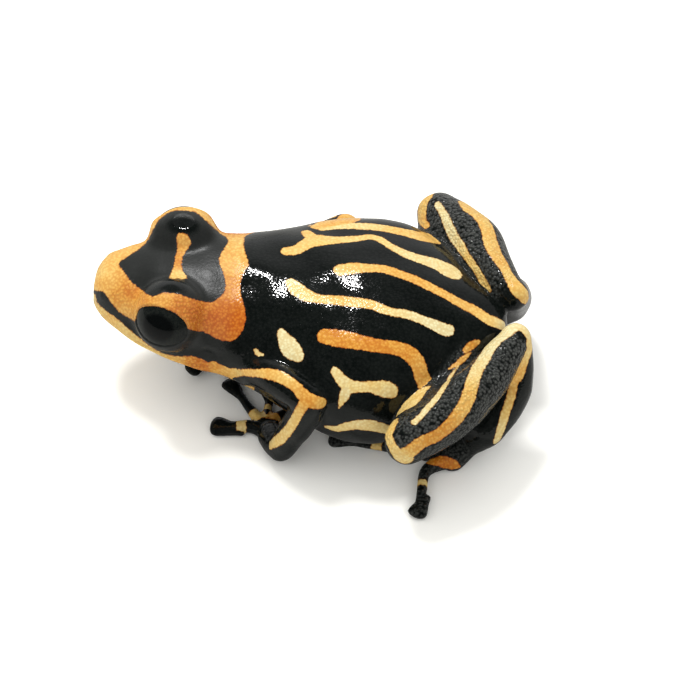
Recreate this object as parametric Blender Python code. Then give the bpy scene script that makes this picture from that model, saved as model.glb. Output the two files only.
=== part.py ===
"""A summers poison frog, life size, sitting with its head up and its legs folded.

The body is one smooth form along X, parted at the neck. Each limb is a chain of
tapered forms, and where one piece meets another it is cut back from that
neighbour, so that the two lie face to face with a thin gap between them.
Sizes below are in millimetres and become metres as each mesh is made, moved by
CENTRE_X so that the frog's box is centred. The head points along -X, the frog's
left side is -Y, and it sits on the plane Z = 0.
"""

import math

import bmesh
import bpy
from mathutils import Vector

MM = 0.001
CENTRE_X = 0.12
GAP = 0.3
EYE_GAP = 0.15
FLOOR_CUT_DEPTH = 3.0

# Body, from the tip of the snout to the vent. Each row is a cross-section:
# place along X, half width, height of the widest line, top, bottom.
BODY_SECTIONS = [
    (-9.05, 0.20, 4.05, 4.25, 3.85),
    (-8.98, 0.75, 4.05, 4.75, 3.45),
    (-8.60, 1.35, 4.00, 5.20, 3.10),
    (-7.80, 1.95, 3.90, 5.50, 2.85),
    (-6.80, 2.50, 3.75, 5.75, 2.65),
    (-5.70, 2.95, 3.60, 5.95, 2.45),
    (-4.50, 3.20, 3.50, 6.00, 2.15),
    (-3.20, 3.35, 3.50, 5.97, 1.85),
    (-1.80, 3.85, 3.45, 5.90, 1.35),
    (-0.20, 4.65, 3.25, 5.90, 0.65),
    (1.60, 5.25, 3.05, 5.88, -0.05),
    (3.30, 5.20, 2.95, 5.75, -0.05),
    (4.90, 4.25, 3.00, 5.45, 0.40),
    (6.20, 2.80, 3.20, 5.05, 1.25),
    (7.20, 1.85, 3.50, 4.75, 2.25),
    (7.78, 0.95, 3.75, 4.45, 3.05),
    (7.95, 0.25, 3.80, 3.95, 3.60),
]
BODY_SQUARENESS = 2.3
NECK_X = -3.2
END_ANGLES = (0.3, 0.85)
HEAD_SIDES = 28
HEAD_RINGS = 20
TORSO_SIDES = 28
TORSO_RINGS = 20

# Head
EYE_CENTRE = (-5.62, 1.95, 4.93)
EYE_RADIUS = 1.31
EYE_BULGE = 0.12
EYE_AXIS = (-0.25, 0.88, 0.42)
LID_RADIUS = 1.58
LID_OPENING = (1.15, 0.83)
MOUTH_HEIGHT = (3.62, 3.38)
MOUTH_CORNER_X = -4.1
MOUTH_GROOVE_RADIUS = 0.10
NOSTRIL = (-8.45, 1.05, 4.72)
NOSTRIL_RADIUS = 0.13

# Arms. Both are given as if on the left, and the right one is mirrored. The lifts bow
# the upper arm a third and two thirds of the way to the elbow. The palm's yaw is how
# far its digits turn inwards from straight ahead, in degrees.
SHOULDER = (-2.4, -2.7, 3.2)
ARM_POSES = {
    "left": {
        "lifts": ((0.03, -0.31, 0.60), (0.02, -0.21, 0.45)),
        "elbow": (0.52, -5.03, 3.95),
        "wrist": (-0.70, -5.02, 0.80),
        "palm": (-1.25, -3.90, 0.30),
        "yaw": 54,
    },
    "right": {
        "lifts": ((-0.03, -0.08, -0.12), (-0.03, -0.10, -0.16)),
        "elbow": (0.59, -5.36, 2.97),
        "wrist": (-1.60, -3.10, 0.80),
        "palm": (-2.65, -1.80, 0.30),
        "yaw": 49,
    },
}
UPPER_ARM_RADII = (0.85, 0.76, 0.72, 0.69)
FOREARM_RADII = (0.69, 0.71, 0.66, 0.56)
PALM_RADII = (0.56, 0.56)

# Fingers, first to fourth: turn from the palm's yaw in degrees (inwards is
# positive), length from the palm's middle to the tip, thickness, pad half width
FINGERS = [
    (58, 1.95, 0.46, 0.30),
    (26, 2.40, 0.48, 0.36),
    (-2, 3.35, 0.50, 0.42),
    (-47, 2.25, 0.50, 0.48),
]
KNUCKLE = 0.85

# Legs, both given as if on the left: knee, heel, the heel bone's bend and low end,
# and how far the thigh bows a third and two thirds of the way to the knee, and the
# shank on its way to the heel
HIP = (6.1, -1.3, 3.35)
LEG_POSES = {
    "left": {
        "knee": (4.70, -6.35, 3.65),
        "thigh_lifts": ((0.35, 0.0, -0.45), (0.20, 0.0, -0.35)),
        "shank_lifts": ((0.35, -0.25, 0.0), (0.30, -0.20, 0.0)),
        "heel": (8.46, -1.25, 4.74),
        "bend": (8.46, -2.35, 2.95),
        "low": (7.63, -3.35, 1.65),
    },
    "right": {
        "knee": (4.42, -6.10, 3.62),
        "thigh_lifts": ((0.0, 0.0, -0.15), (-0.05, 0.0, -0.20)),
        "shank_lifts": ((0.23, 0.0, 0.23), (0.05, 0.20, 0.23)),
        "heel": (8.05, -1.35, 4.50),
        "bend": (7.85, -2.50, 3.05),
        "low": (7.65, -3.30, 1.65),
    },
}
THIGH_RADII = (1.40, 1.38, 1.22, 0.95)
SHANK_RADII = (0.96, 1.08, 0.95, 0.66)
TARSUS_RADII = (0.70, 0.80, 0.80, 0.62)
SOLE_RADII = (0.60, 0.55)

# Feet: the ankle, the sole's middle and its yaw, then the toes, first to fifth,
# turned from straight ahead of the sole
ANKLE = (6.82, -3.36, 0.62)
SOLE = (6.27, -4.16, 0.36)
FOOT_YAW = 9
TOES = [
    (52, 1.80, 0.46, 0.28),
    (24, 2.72, 0.48, 0.30),
    (5, 3.75, 0.50, 0.34),
    (-3, 4.93, 0.52, 0.40),
    (-79, 3.15, 0.52, 0.42),
]
INSTEP = 1.25
KNUCKLE_SPREAD = 0.6
KNUCKLE_LIFT = 0.08
DIGIT_HEIGHT = 0.20
DIGIT_TAPER = (1.5, 1.15, 0.97, 0.9)

# The pad on each digit's end, seen from above a blunt wedge. Each row is a place
# along the digit from the tip, the width and the height there, as shares of the
# pad's half width and half height.
PAD_HALF_HEIGHT = 0.24
PAD_SHAPE = [
    (-2.2, 0.42, 0.70),
    (-1.3, 0.66, 0.95),
    (-0.3, 1.00, 1.00),
    (0.3, 0.93, 0.85),
    (0.66, 0.40, 0.35),
]

BLACK_SKIN = (0.012, 0.013, 0.014)
EYE_BLACK = (0.006, 0.006, 0.007)


def clear_scene():
    for old in list(bpy.data.objects):
        bpy.data.objects.remove(old, do_unlink=True)


def material(name, colour, roughness):
    made = bpy.data.materials.new(name)
    made.use_nodes = True
    shader = made.node_tree.nodes["Principled BSDF"]
    shader.inputs["Base Color"].default_value = (*colour, 1.0)
    shader.inputs["Roughness"].default_value = roughness
    shader.inputs["Metallic"].default_value = 0.0
    return made


def smooth_row(rows, u):
    """The row at u, from 0 at the first row to 1 at the last, on a Catmull-Rom curve."""
    place = min(max(u, 0.0), 1.0) * (len(rows) - 1)
    i = min(int(place), len(rows) - 2)
    t = place - i
    before = rows[max(i - 1, 0)]
    after = rows[min(i + 2, len(rows) - 1)]
    found = []
    for a, b, c, d in zip(before, rows[i], rows[i + 1], after):
        value = 2 * b + (c - a) * t + (2 * a - 5 * b + 4 * c - d) * t * t
        value += (3 * b - a - 3 * c + d) * t * t * t
        found.append(value / 2)
    return found


def object_from_rings(name, rings):
    """A closed mesh through rings of equal length, with a flat cap on each end."""
    form = bmesh.new()
    shift = Vector((CENTRE_X, 0, 0))
    made = [[form.verts.new((Vector(p) - shift) * MM) for p in ring] for ring in rings]
    for first, second in zip(made, made[1:]):
        for i in range(len(first)):
            j = (i + 1) % len(first)
            form.faces.new((first[i], first[j], second[j], second[i]))
    form.faces.new(made[0][::-1])
    form.faces.new(made[-1])
    bmesh.ops.triangulate(form, faces=form.faces[:])
    bmesh.ops.recalc_face_normals(form, faces=form.faces[:])
    mesh = bpy.data.meshes.new(name)
    form.to_mesh(mesh)
    form.free()
    made_object = bpy.data.objects.new(name, mesh)
    bpy.context.scene.collection.objects.link(made_object)
    return made_object


def body_row(x):
    """The body's cross-section at x, found by halving the range of u."""
    low, high = 0.0, 1.0
    for _ in range(30):
        middle = (low + high) / 2
        if smooth_row(BODY_SECTIONS, middle)[0] < x:
            low = middle
        else:
            high = middle
    return smooth_row(BODY_SECTIONS, (low + high) / 2)


def body_point(row, angle, grow=0.0):
    """A point of a cross-section: angle 0 is the back, 90 degrees the right side."""
    x, half_width, wide_height, top, bottom = row
    side = math.sin(angle)
    up = math.cos(angle)
    power = 2 / BODY_SQUARENESS
    reach = top - wide_height if up > 0 else wide_height - bottom
    y = math.copysign(abs(side) ** power, side) * (half_width + grow)
    z = wide_height + math.copysign(abs(up) ** power, up) * (reach + grow)
    return (x, y, z)


def body_form(name, from_x, to_x, sides, rings, grow=0.0):
    """The body from one place along X to another, made fatter by grow."""
    ends = (BODY_SECTIONS[0][0], BODY_SECTIONS[-1][0])
    placed = []
    for i in range(rings):
        t = i / (rings - 1)
        # Rings gather at an end that closes to a tip.
        if from_x == ends[0]:
            t = 1 - math.cos(t * math.pi / 2)
        elif to_x == ends[1]:
            t = math.sin(t * math.pi / 2)
        row = body_row(from_x + (to_x - from_x) * t)
        if grow and row[0] == from_x:
            row[0] -= grow
        angles = [2 * math.pi * k / sides for k in range(sides)]
        placed.append([body_point(row, angle, grow) for angle in angles])
    return object_from_rings(name, placed)


def limb(name, points, radii, sides=14, rings=10, grow=0.0):
    """A tapered round form along a smooth line through points, with rounded ends."""
    rows = [(*point, radius) for point, radius in zip(points, radii)]
    samples = [smooth_row(rows, i / (rings - 1)) for i in range(rings)]
    along = Vector(samples[1][:3]) - Vector(samples[0][:3])
    across = along.cross(Vector((0, 0, 1)))
    if across.length < 1e-6:
        across = Vector((0, 1, 0))
    across.normalize()
    placed = []
    last = len(samples) - 1
    for i, row in enumerate(samples):
        centre = Vector(row[:3])
        ahead = Vector(samples[min(i + 1, last)][:3])
        behind = Vector(samples[max(i - 1, 0)][:3])
        along = (ahead - behind).normalized()
        across = (across - along * across.dot(along)).normalized()
        upward = across.cross(along)
        radius = row[3] + grow
        steps = [(0.0, 1.0)]
        if i == 0:
            steps = [(-math.cos(a), math.sin(a)) for a in END_ANGLES] + steps
        if i == last:
            steps = steps + [(math.cos(a), math.sin(a)) for a in END_ANGLES[::-1]]
        for forward, size in steps:
            ring = []
            for k in range(sides):
                angle = 2 * math.pi * k / sides
                spread = across * math.cos(angle) + upward * math.sin(angle)
                ring.append(centre + along * forward * radius + spread * size * radius)
            placed.append(ring)
    return object_from_rings(name, placed)


def ball(name, centre, size, sides=16, rings=10):
    """An ellipsoid with its own half sizes along X, Y and Z."""
    placed = []
    for i in range(1, rings):
        angle = math.pi * i / rings
        ring = []
        for k in range(sides):
            turn = 2 * math.pi * k / sides
            ring.append(
                (
                    centre[0] + size[0] * math.sin(angle) * math.cos(turn),
                    centre[1] + size[1] * math.sin(angle) * math.sin(turn),
                    centre[2] + size[2] * math.cos(angle),
                )
            )
        placed.append(ring)
    return object_from_rings(name, placed)


def keep_largest(target):
    """Drops all but the largest closed surface of a mesh."""
    form = bmesh.new()
    form.from_mesh(target.data)
    left = set(form.verts)
    groups = []
    while left:
        group = set()
        edge_of_group = [left.pop()]
        while edge_of_group:
            vert = edge_of_group.pop()
            group.add(vert)
            for edge in vert.link_edges:
                other = edge.other_vert(vert)
                if other in left:
                    left.remove(other)
                    edge_of_group.append(other)
        groups.append(group)
    groups.sort(key=len)
    for group in groups[:-1]:
        bmesh.ops.delete(form, geom=list(group), context="VERTS")
    form.to_mesh(target.data)
    form.free()


def combine(target, others, operation):
    """Joins the others to the target, or cuts them from it, and removes them."""
    group = bpy.data.collections.new("pieces")
    for other in others:
        bpy.context.scene.collection.objects.unlink(other)
        group.objects.link(other)
    bpy.context.scene.collection.children.link(group)
    modifier = target.modifiers.new(operation.lower(), "BOOLEAN")
    modifier.operation = operation
    modifier.operand_type = "COLLECTION"
    modifier.collection = group
    modifier.solver = "EXACT"
    modifier.use_self = operation == "DIFFERENCE"
    graph = bpy.context.evaluated_depsgraph_get()
    mesh = bpy.data.meshes.new_from_object(target.evaluated_get(graph))
    target.modifiers.clear()
    target.data = mesh
    for other in others:
        bpy.data.objects.remove(other, do_unlink=True)
    bpy.data.collections.remove(group)
    keep_largest(target)


def floor_block():
    """All that lies below the floor, near the frog."""
    corners = []
    for z in (-FLOOR_CUT_DEPTH, 0.0):
        corners.append([(-12, -12, z), (12, -12, z), (12, 12, z), (-12, 12, z)])
    return object_from_rings("below_floor", corners)


def mirrored(point, side):
    """A point given as on the left, set on the left (side -1) or the right (side 1)."""
    return (point[0], -point[1] * side, point[2])


def neck_cutter():
    """A slab that clears the gap in front of the torso's neck face."""
    corners = []
    for x in (NECK_X - GAP, NECK_X + 8):
        corners.append([(x, -8, -4), (x, 8, -4), (x, 8, 12), (x, -8, 12)])
    return object_from_rings("neck_cutter", corners)


def eye_centre(side):
    return Vector((EYE_CENTRE[0], EYE_CENTRE[1] * side, EYE_CENTRE[2]))


def eye_axis(side):
    return Vector((EYE_AXIS[0], EYE_AXIS[1] * side, EYE_AXIS[2])).normalized()


def lid_opening_cutter(side):
    """A rod of oval section along the eye's axis, which opens the lids."""
    axis = eye_axis(side)
    level = axis.cross(Vector((0, 0, 1))).normalized()
    upward = level.cross(axis)
    placed = []
    for reach in (0.35, 3.0):
        ring = []
        for k in range(20):
            angle = 2 * math.pi * k / 20
            spread = level * math.cos(angle) * LID_OPENING[0]
            spread += upward * math.sin(angle) * LID_OPENING[1]
            ring.append(eye_centre(side) + axis * reach + spread)
        placed.append(ring)
    return object_from_rings("lid_opening", placed)


def mouth_groove():
    """A thin round groove along the lips, from one corner of the mouth to the other."""
    tip_x = BODY_SECTIONS[0][0]
    points = []
    steps = 12
    for i in range(-steps, steps + 1):
        t = abs(i) / steps
        x = tip_x + 0.05 + (MOUTH_CORNER_X - tip_x) * t ** 1.8
        height = MOUTH_HEIGHT[0] + (MOUTH_HEIGHT[1] - MOUTH_HEIGHT[0]) * t
        row = body_row(x)
        below = max(row[2] - height, 0.0) / (row[2] - row[4])
        inner = (1 - min(below, 1.0) ** BODY_SQUARENESS) ** (1 / BODY_SQUARENESS)
        y = row[1] * inner
        points.append((x, math.copysign(y, i) if i else 0.0, height))
    radii = [MOUTH_GROOVE_RADIUS] * len(points)
    return limb("mouth_groove", points, radii, sides=6, rings=len(points))


def make_head(skin):
    head = body_form("head", BODY_SECTIONS[0][0], NECK_X, HEAD_SIDES, HEAD_RINGS)
    lids = []
    for side in (-1, 1):
        lids.append(ball("lid", eye_centre(side), (LID_RADIUS,) * 3, 20, 12))
    combine(head, lids, "UNION")
    cutters = [neck_cutter(), mouth_groove()]
    for side in (-1, 1):
        middle = eye_centre(side) + eye_axis(side) * EYE_BULGE
        cutters.append(ball("socket", middle, (EYE_RADIUS + EYE_GAP,) * 3, 20, 12))
        cutters.append(lid_opening_cutter(side))
        nostril = (NOSTRIL[0], NOSTRIL[1] * side, NOSTRIL[2])
        cutters.append(ball("nostril", nostril, (NOSTRIL_RADIUS * 1.4,) * 3, 8, 6))
    for cutter in cutters:
        combine(head, [cutter], "DIFFERENCE")
    head.data.materials.append(skin)
    return head


def make_eye(side, name, look):
    middle = eye_centre(side) + eye_axis(side) * EYE_BULGE
    eye = ball(name, middle, (EYE_RADIUS,) * 3, 18, 12)
    eye.data.materials.append(look)


def torso_form(name, grow=0.0):
    return body_form(
        name, NECK_X, BODY_SECTIONS[-1][0], TORSO_SIDES, TORSO_RINGS, grow
    )


def along_line(start, end, t, lift=(0, 0, 0)):
    """The point at t between two points, moved by lift."""
    return tuple(a + (b - a) * t + c for a, b, c in zip(start, end, lift))


def upper_arm_form(side, pose, name, grow=0.0):
    elbow = pose["elbow"]
    points = [
        SHOULDER,
        along_line(SHOULDER, elbow, 0.35, pose["lifts"][0]),
        along_line(SHOULDER, elbow, 0.7, pose["lifts"][1]),
        elbow,
    ]
    points = [mirrored(point, side) for point in points]
    return limb(name, points, UPPER_ARM_RADII, grow=grow)


def forearm_form(side, pose, name, grow=0.0):
    elbow = pose["elbow"]
    wrist = pose["wrist"]
    points = [
        elbow,
        along_line(elbow, wrist, 0.35, (0.05, -0.05, 0)),
        along_line(elbow, wrist, 0.7),
        wrist,
    ]
    points = [mirrored(point, side) for point in points]
    return limb(name, points, FOREARM_RADII, grow=grow)


def thigh_form(side, pose, name, grow=0.0):
    knee = pose["knee"]
    points = [
        HIP,
        along_line(HIP, knee, 0.35, pose["thigh_lifts"][0]),
        along_line(HIP, knee, 0.7, pose["thigh_lifts"][1]),
        knee,
    ]
    points = [mirrored(point, side) for point in points]
    return limb(name, points, THIGH_RADII, grow=grow)


def shank_form(side, pose, name, grow=0.0):
    knee = pose["knee"]
    heel = pose["heel"]
    points = [
        knee,
        along_line(knee, heel, 0.35, pose["shank_lifts"][0]),
        along_line(knee, heel, 0.7, pose["shank_lifts"][1]),
        heel,
    ]
    points = [mirrored(point, side) for point in points]
    return limb(name, points, SHANK_RADII, grow=grow)


def tarsus_form(side, pose, name, grow=0.0):
    points = [pose["heel"], pose["bend"], pose["low"], ANKLE]
    points = [mirrored(point, side) for point in points]
    return limb(name, points, TARSUS_RADII, grow=grow)


def digit_pad(side, tip, outward, half_width):
    """The flat pad on a finger or toe, widest near its blunt end."""
    across = outward.cross(Vector((0, 0, 1)))
    sides = 8
    placed = []
    for along, width, height in PAD_SHAPE:
        ring = []
        for k in range(sides):
            angle = 2 * math.pi * k / sides
            point = tip + outward * along * half_width
            point += across * math.cos(angle) * width * half_width
            point.z += math.sin(angle) * height * PAD_HALF_HEIGHT
            ring.append(mirrored(point, side))
        placed.append(ring)
    return object_from_rings("pad", placed)


def digit_pieces(side, middle, yaw, digit, knuckle):
    """One finger or toe: a thin form out to its pad."""
    turn, length, thickness, half_width = digit
    heading = math.radians(yaw + turn)
    outward = Vector((-math.cos(heading), math.sin(heading), 0))
    heading = math.radians(yaw + turn * KNUCKLE_SPREAD)
    at_knuckle = Vector((-math.cos(heading), math.sin(heading), 0))
    flat = Vector((middle[0], middle[1], DIGIT_HEIGHT))
    tip = flat + outward * length
    bend = flat + at_knuckle * knuckle + Vector((0, 0, KNUCKLE_LIFT))
    points = [Vector(middle), bend, (bend + tip) / 2, tip]
    points = [mirrored(point, side) for point in points]
    radii = [thickness / 2 * share for share in DIGIT_TAPER]
    pieces = [limb("digit", points, radii, sides=8, rings=7)]
    pieces.append(digit_pad(side, tip, outward, half_width))
    return pieces


def extremity(side, name, root, middle, yaw, digits, knuckle, radii):
    """A hand or a foot: a low pad with its digits, flat where it meets the floor."""
    pad = limb(name, [mirrored(root, side), mirrored(middle, side)], radii, rings=5)
    pieces = []
    for digit in digits:
        pieces += digit_pieces(side, middle, yaw, digit, knuckle)
    combine(pad, pieces, "UNION")
    combine(pad, [floor_block()], "DIFFERENCE")
    return pad


def make_arm(side, word):
    """The arm of one side, each piece cut back from what it meets."""
    pose = ARM_POSES[word]
    upper_arm = upper_arm_form(side, pose, "upper_arm_" + word)
    combine(upper_arm, [torso_form("cutter", GAP)], "DIFFERENCE")
    forearm = forearm_form(side, pose, "forearm_" + word)
    combine(forearm, [upper_arm_form(side, pose, "cutter", GAP)], "DIFFERENCE")
    combine(forearm, [torso_form("cutter", GAP)], "DIFFERENCE")
    hand = extremity(
        side, "hand_" + word, pose["wrist"], pose["palm"], pose["yaw"],
        FINGERS, KNUCKLE, PALM_RADII,
    )
    combine(hand, [forearm_form(side, pose, "cutter", GAP)], "DIFFERENCE")
    return [upper_arm, forearm, hand]


def make_leg(side, word):
    """The leg of one side, each piece cut back from what it meets."""
    pose = LEG_POSES[word]
    thigh = thigh_form(side, pose, "thigh_" + word)
    combine(thigh, [torso_form("cutter", GAP)], "DIFFERENCE")
    shank = shank_form(side, pose, "shank_" + word)
    combine(shank, [thigh_form(side, pose, "cutter", GAP)], "DIFFERENCE")
    combine(shank, [torso_form("cutter", GAP)], "DIFFERENCE")
    tarsus = tarsus_form(side, pose, "tarsus_" + word)
    combine(tarsus, [shank_form(side, pose, "cutter", GAP)], "DIFFERENCE")
    combine(tarsus, [thigh_form(side, pose, "cutter", GAP)], "DIFFERENCE")
    foot = extremity(
        side, "foot_" + word, ANKLE, SOLE, FOOT_YAW, TOES, INSTEP, SOLE_RADII
    )
    combine(foot, [tarsus_form(side, pose, "cutter", GAP)], "DIFFERENCE")
    return [thigh, shank, tarsus, foot]


def main():
    clear_scene()
    skin = material("frog_skin", BLACK_SKIN, 0.3)
    eye_look = material("frog_eye", EYE_BLACK, 0.05)
    make_head(skin)
    torso = torso_form("torso")
    combine(torso, [floor_block()], "DIFFERENCE")
    torso.data.materials.append(skin)
    for side, word in ((-1, "left"), (1, "right")):
        make_eye(side, "eye_" + word, eye_look)
        for piece in make_arm(side, word) + make_leg(side, word):
            piece.data.materials.append(skin)


main()
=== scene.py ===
"""A summers poison frog at life size, sitting on a pale floor.

One skin covers the head, trunk, arms and legs, with the eyes as pieces of their own.
Sizes are in millimetres, in the same frame as the frog's solids before they are
centred by CENTRE_X. The head points along -X, the frog's left side is -Y, and the
floor is the plane Z = 0. Markings are painted along the photo camera's line of sight
onto the skin, so each path is given by places in the 700 x 700 photograph.
"""

import math

import bpy
import numpy as np
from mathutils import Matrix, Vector
from mathutils.bvhtree import BVHTree


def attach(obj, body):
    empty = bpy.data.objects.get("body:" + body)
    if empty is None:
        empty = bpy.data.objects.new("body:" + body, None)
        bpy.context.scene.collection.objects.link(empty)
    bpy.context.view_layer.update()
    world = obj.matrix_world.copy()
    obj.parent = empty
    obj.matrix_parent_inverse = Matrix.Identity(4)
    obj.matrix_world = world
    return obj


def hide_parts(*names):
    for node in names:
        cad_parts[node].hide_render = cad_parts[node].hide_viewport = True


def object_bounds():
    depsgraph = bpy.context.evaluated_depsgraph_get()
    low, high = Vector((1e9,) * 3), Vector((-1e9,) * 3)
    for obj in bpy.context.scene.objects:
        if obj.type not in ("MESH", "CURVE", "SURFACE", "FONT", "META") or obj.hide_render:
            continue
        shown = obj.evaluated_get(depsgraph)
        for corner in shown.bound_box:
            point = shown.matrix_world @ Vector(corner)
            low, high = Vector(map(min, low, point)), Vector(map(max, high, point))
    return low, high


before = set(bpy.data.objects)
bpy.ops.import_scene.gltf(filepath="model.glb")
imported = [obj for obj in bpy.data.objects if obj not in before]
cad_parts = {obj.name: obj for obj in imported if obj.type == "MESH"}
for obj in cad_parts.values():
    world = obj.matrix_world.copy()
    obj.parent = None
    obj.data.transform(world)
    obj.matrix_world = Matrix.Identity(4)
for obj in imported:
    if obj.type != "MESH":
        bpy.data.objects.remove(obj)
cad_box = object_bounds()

MM = 0.001
CENTRE_X = 0.12

# The camera, turned round the frog and raised above the floor, in degrees. The
# centre of the model's frame shows at PHOTO_ORIGIN, at PHOTO_SCALE pixels per mm.
CAMERA_AZIMUTH = 7.5
CAMERA_ELEVATION = 49.0
CAMERA_DISTANCE = 600.0
PHOTO_SIZE = 700
PHOTO_ORIGIN = (314.0, 372.0)
PHOTO_SCALE = 24.4
MIDDLE_HEIGHT = 3.4
SENSOR = 36.0
CLIP_START = 0.01
CLIP_END = 5.0

# The room's light, how strongly its front and its rear show in wet skin, and the two
# shares of the way to its rear between which the one turns into the other
ROOM_LIGHT = 1.25
ROOM_SHINE = (0.08, 0.75)
REAR_EDGES = (0.5, 0.98)

# A broad lamp for the light, and a small one for the glints: places and sizes in mm
# and powers in watts
LAMP_PLACE = (-60, 92, 220)
LAMP_SIZE = 70.0
LAMP_POWER = 0.56
GLINT_PLACE = (-22, 122, 217)
GLINT_SIZE = 12.0
GLINT_POWER = 0.16
LAMP_AIM = (0, 0, 3.0)

FLOOR_HALF = 1.2
FLOOR_COLOURS = ((0.95, 0.94, 0.89), (0.97, 0.96, 0.91))
# The floor's colour where wet skin mirrors it: painted shade
FLOOR_SHADE_IN_REFLECTIONS = (0.3, 0.3, 0.3)

# The skin's mesh: the size of its faces, and rounds of smoothing all over, where
# limbs join, and where the eyes' domes rise
SKIN_STEP = 0.062
SMOOTHING_ROUNDS = 3
JOINT_ROUNDS = 24
LID_ROUNDS = 60
JOINT_WIDTH = 0.32

# Unevenness of live skin: its height, its waves' lengths and their random seed
UNEVENNESS = 0.05
WAVE_LENGTHS = (3.4, 2.6, 2.1, 1.7, 1.3, 1.0)
WAVE_SEED = 7

# Granules to a mm, swellings to a mm, and the height of the coarsest relief, in mm
GRANULES = 8.5
SWELLINGS = 2.6
RELIEF_DEPTH = 0.09

# How coarse the skin is on each part, as a share of the coarsest, which also sets how strongly the
# granule tops are painted grey as painted glints
GRAIN_SIZES = {"trunk": 0.035, "thigh": 0.3, "shank": 0.5, "tarsus": 0.06, "foot": 0.3}
GRAIN_ELSEWHERE = 0.05
GRAIN_ON_HEAD = 0.02
GRAIN_ON_MARKS = 0.06
GRAIN_ON_WARM_MARKS = 0.24
WARM_EDGES = (0.5, 0.8)
HEAD_GRAIN_EDGES = (-4.6, -3.6)
GRAIN_ROUNDS = 8

# Matt skin between the eyes, painted a lighter grey as painted sheen: where it begins and is full
# along X and Z, and round the glossy tops of the domes
MATT_ALONG = (-2.8, -3.6)
MATT_ABOVE = (4.0, 4.6)
DOME_EDGES = (0.6, 1.2)

# Colours of the black skin between the markings, its grey between the eyes as painted sheen and its
# grey granule tops as painted glints, and tints for the marks' furrows, partly painted shade, and
# rims
BLACK_SKIN = ((0.0010, 0.0018, 0.0015), (0.0026, 0.0036, 0.0031))
PAINTED_SHEEN_GREY = (0.0120, 0.0130, 0.0120)
PAINTED_GLINT_GREY = (0.095, 0.098, 0.090)
FURROW_SHADE_TINT = (0.72, 0.50, 0.26)
RIM_TINT = (0.42, 0.20, 0.07)
SKIN_IOR = 1.42
SKIN_ROUGHNESS = (0.06, 0.11)
MATT_ROUGHNESS = 0.25
MARK_ROUGHNESS = 0.14

# The markings' edges, in mm: how far they wander, how ragged the granules make them,
# where black turns to colour, and how far in the rim's brown reaches
EDGE_WANDER = 0.03
EDGE_RAGGED = 0.016
MARK_EDGES = (-0.012, 0.014)
RIM_WIDTH = 0.05
WARMTH_PATCHES = 0.07

IRIS_COLOURS = ((0.0030, 0.0042, 0.0040), (0.012, 0.013, 0.011))
PUPIL_COLOUR = (0.0012, 0.0016, 0.0016)
PUPIL_HEIGHT = 1.15
PUPIL_EDGES = (0.40, 0.55)
EYE_IOR = 1.34
EYE_ROUGHNESS = (0.06, 0.10)

# The markings' colours from cream to rust, by warmth
STRIPE_COLOURS = [
    (0.0, (0.56, 0.510, 0.290)),
    (0.2, (0.56, 0.440, 0.180)),
    (0.35, (0.56, 0.390, 0.120)),
    (0.5, (0.55, 0.325, 0.077)),
    (0.7, (0.51, 0.250, 0.038)),
    (0.85, (0.46, 0.172, 0.018)),
    (1.0, (0.41, 0.115, 0.008)),
]

# Body, from the tip of the snout to the vent. Each row is a cross-section:
# place along X, half width, height of the widest line, top, bottom.
BODY_SECTIONS = [
    (-9.05, 0.20, 4.05, 4.25, 3.85),
    (-8.98, 0.75, 4.05, 4.75, 3.45),
    (-8.60, 1.35, 4.00, 5.20, 3.10),
    (-7.80, 1.95, 3.90, 5.50, 2.85),
    (-6.80, 2.50, 3.75, 5.75, 2.65),
    (-5.70, 2.95, 3.60, 5.95, 2.45),
    (-4.50, 3.20, 3.50, 6.00, 2.15),
    (-3.20, 3.35, 3.50, 5.97, 1.85),
    (-1.80, 3.85, 3.45, 5.90, 1.35),
    (-0.20, 4.65, 3.25, 5.90, 0.65),
    (1.60, 5.25, 3.05, 5.88, -0.05),
    (3.30, 5.20, 2.95, 5.75, -0.05),
    (4.90, 4.25, 3.00, 5.45, 0.40),
    (6.20, 2.80, 3.20, 5.05, 1.25),
    (7.20, 1.85, 3.50, 4.75, 2.25),
    (7.78, 0.95, 3.75, 4.45, 3.05),
    (7.95, 0.25, 3.80, 3.95, 3.60),
]
BODY_SQUARENESS = 2.3

# Head: eyes, lids and the glossy tops of their domes, mouth, nostrils and eardrums,
# given with Y outwards
EYE_CENTRE = (-5.62, 1.95, 4.93)
EYE_RADIUS = 1.43
EYE_BULGE = 0.14
EYE_AXIS = (-0.25, 0.88, 0.42)
LID_RADIUS = 1.58
GLOSSY_TOP = (0.72, 0.50)
GLOSSY_LEAN = -0.30
LID_OPENING = (1.15, 0.83)
LID_REACH = 1.25
BALL_DEPTH = 0.12
MOUTH_HEIGHT = (3.62, 3.38)
MOUTH_CORNER_X = -4.1
NOSTRIL = (-8.45, 1.05, 4.72)
EARDRUM = (-3.95, 3.05, 3.95)
LORE = (-7.45, 2.35, 4.35)

# Relief of the face: how far from the feature the middle of a dent or ridge is, how
# wide it is and how far it stands out, in mm. The lids' bead is a share of the opening.
LIP_RELIEF = [(0.0, 0.075, -0.075), (0.2, 0.11, 0.03)]
NOSTRIL_RELIEF = [(0.0, 0.10, -0.15), (0.2, 0.08, 0.025)]
EARDRUM_RELIEF = [(0.42, 0.09, -0.03)]
LORE_RELIEF = [(0.0, 0.5, -0.07)]
LID_BEAD = [(1.10, 0.07, 0.035)]

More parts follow.
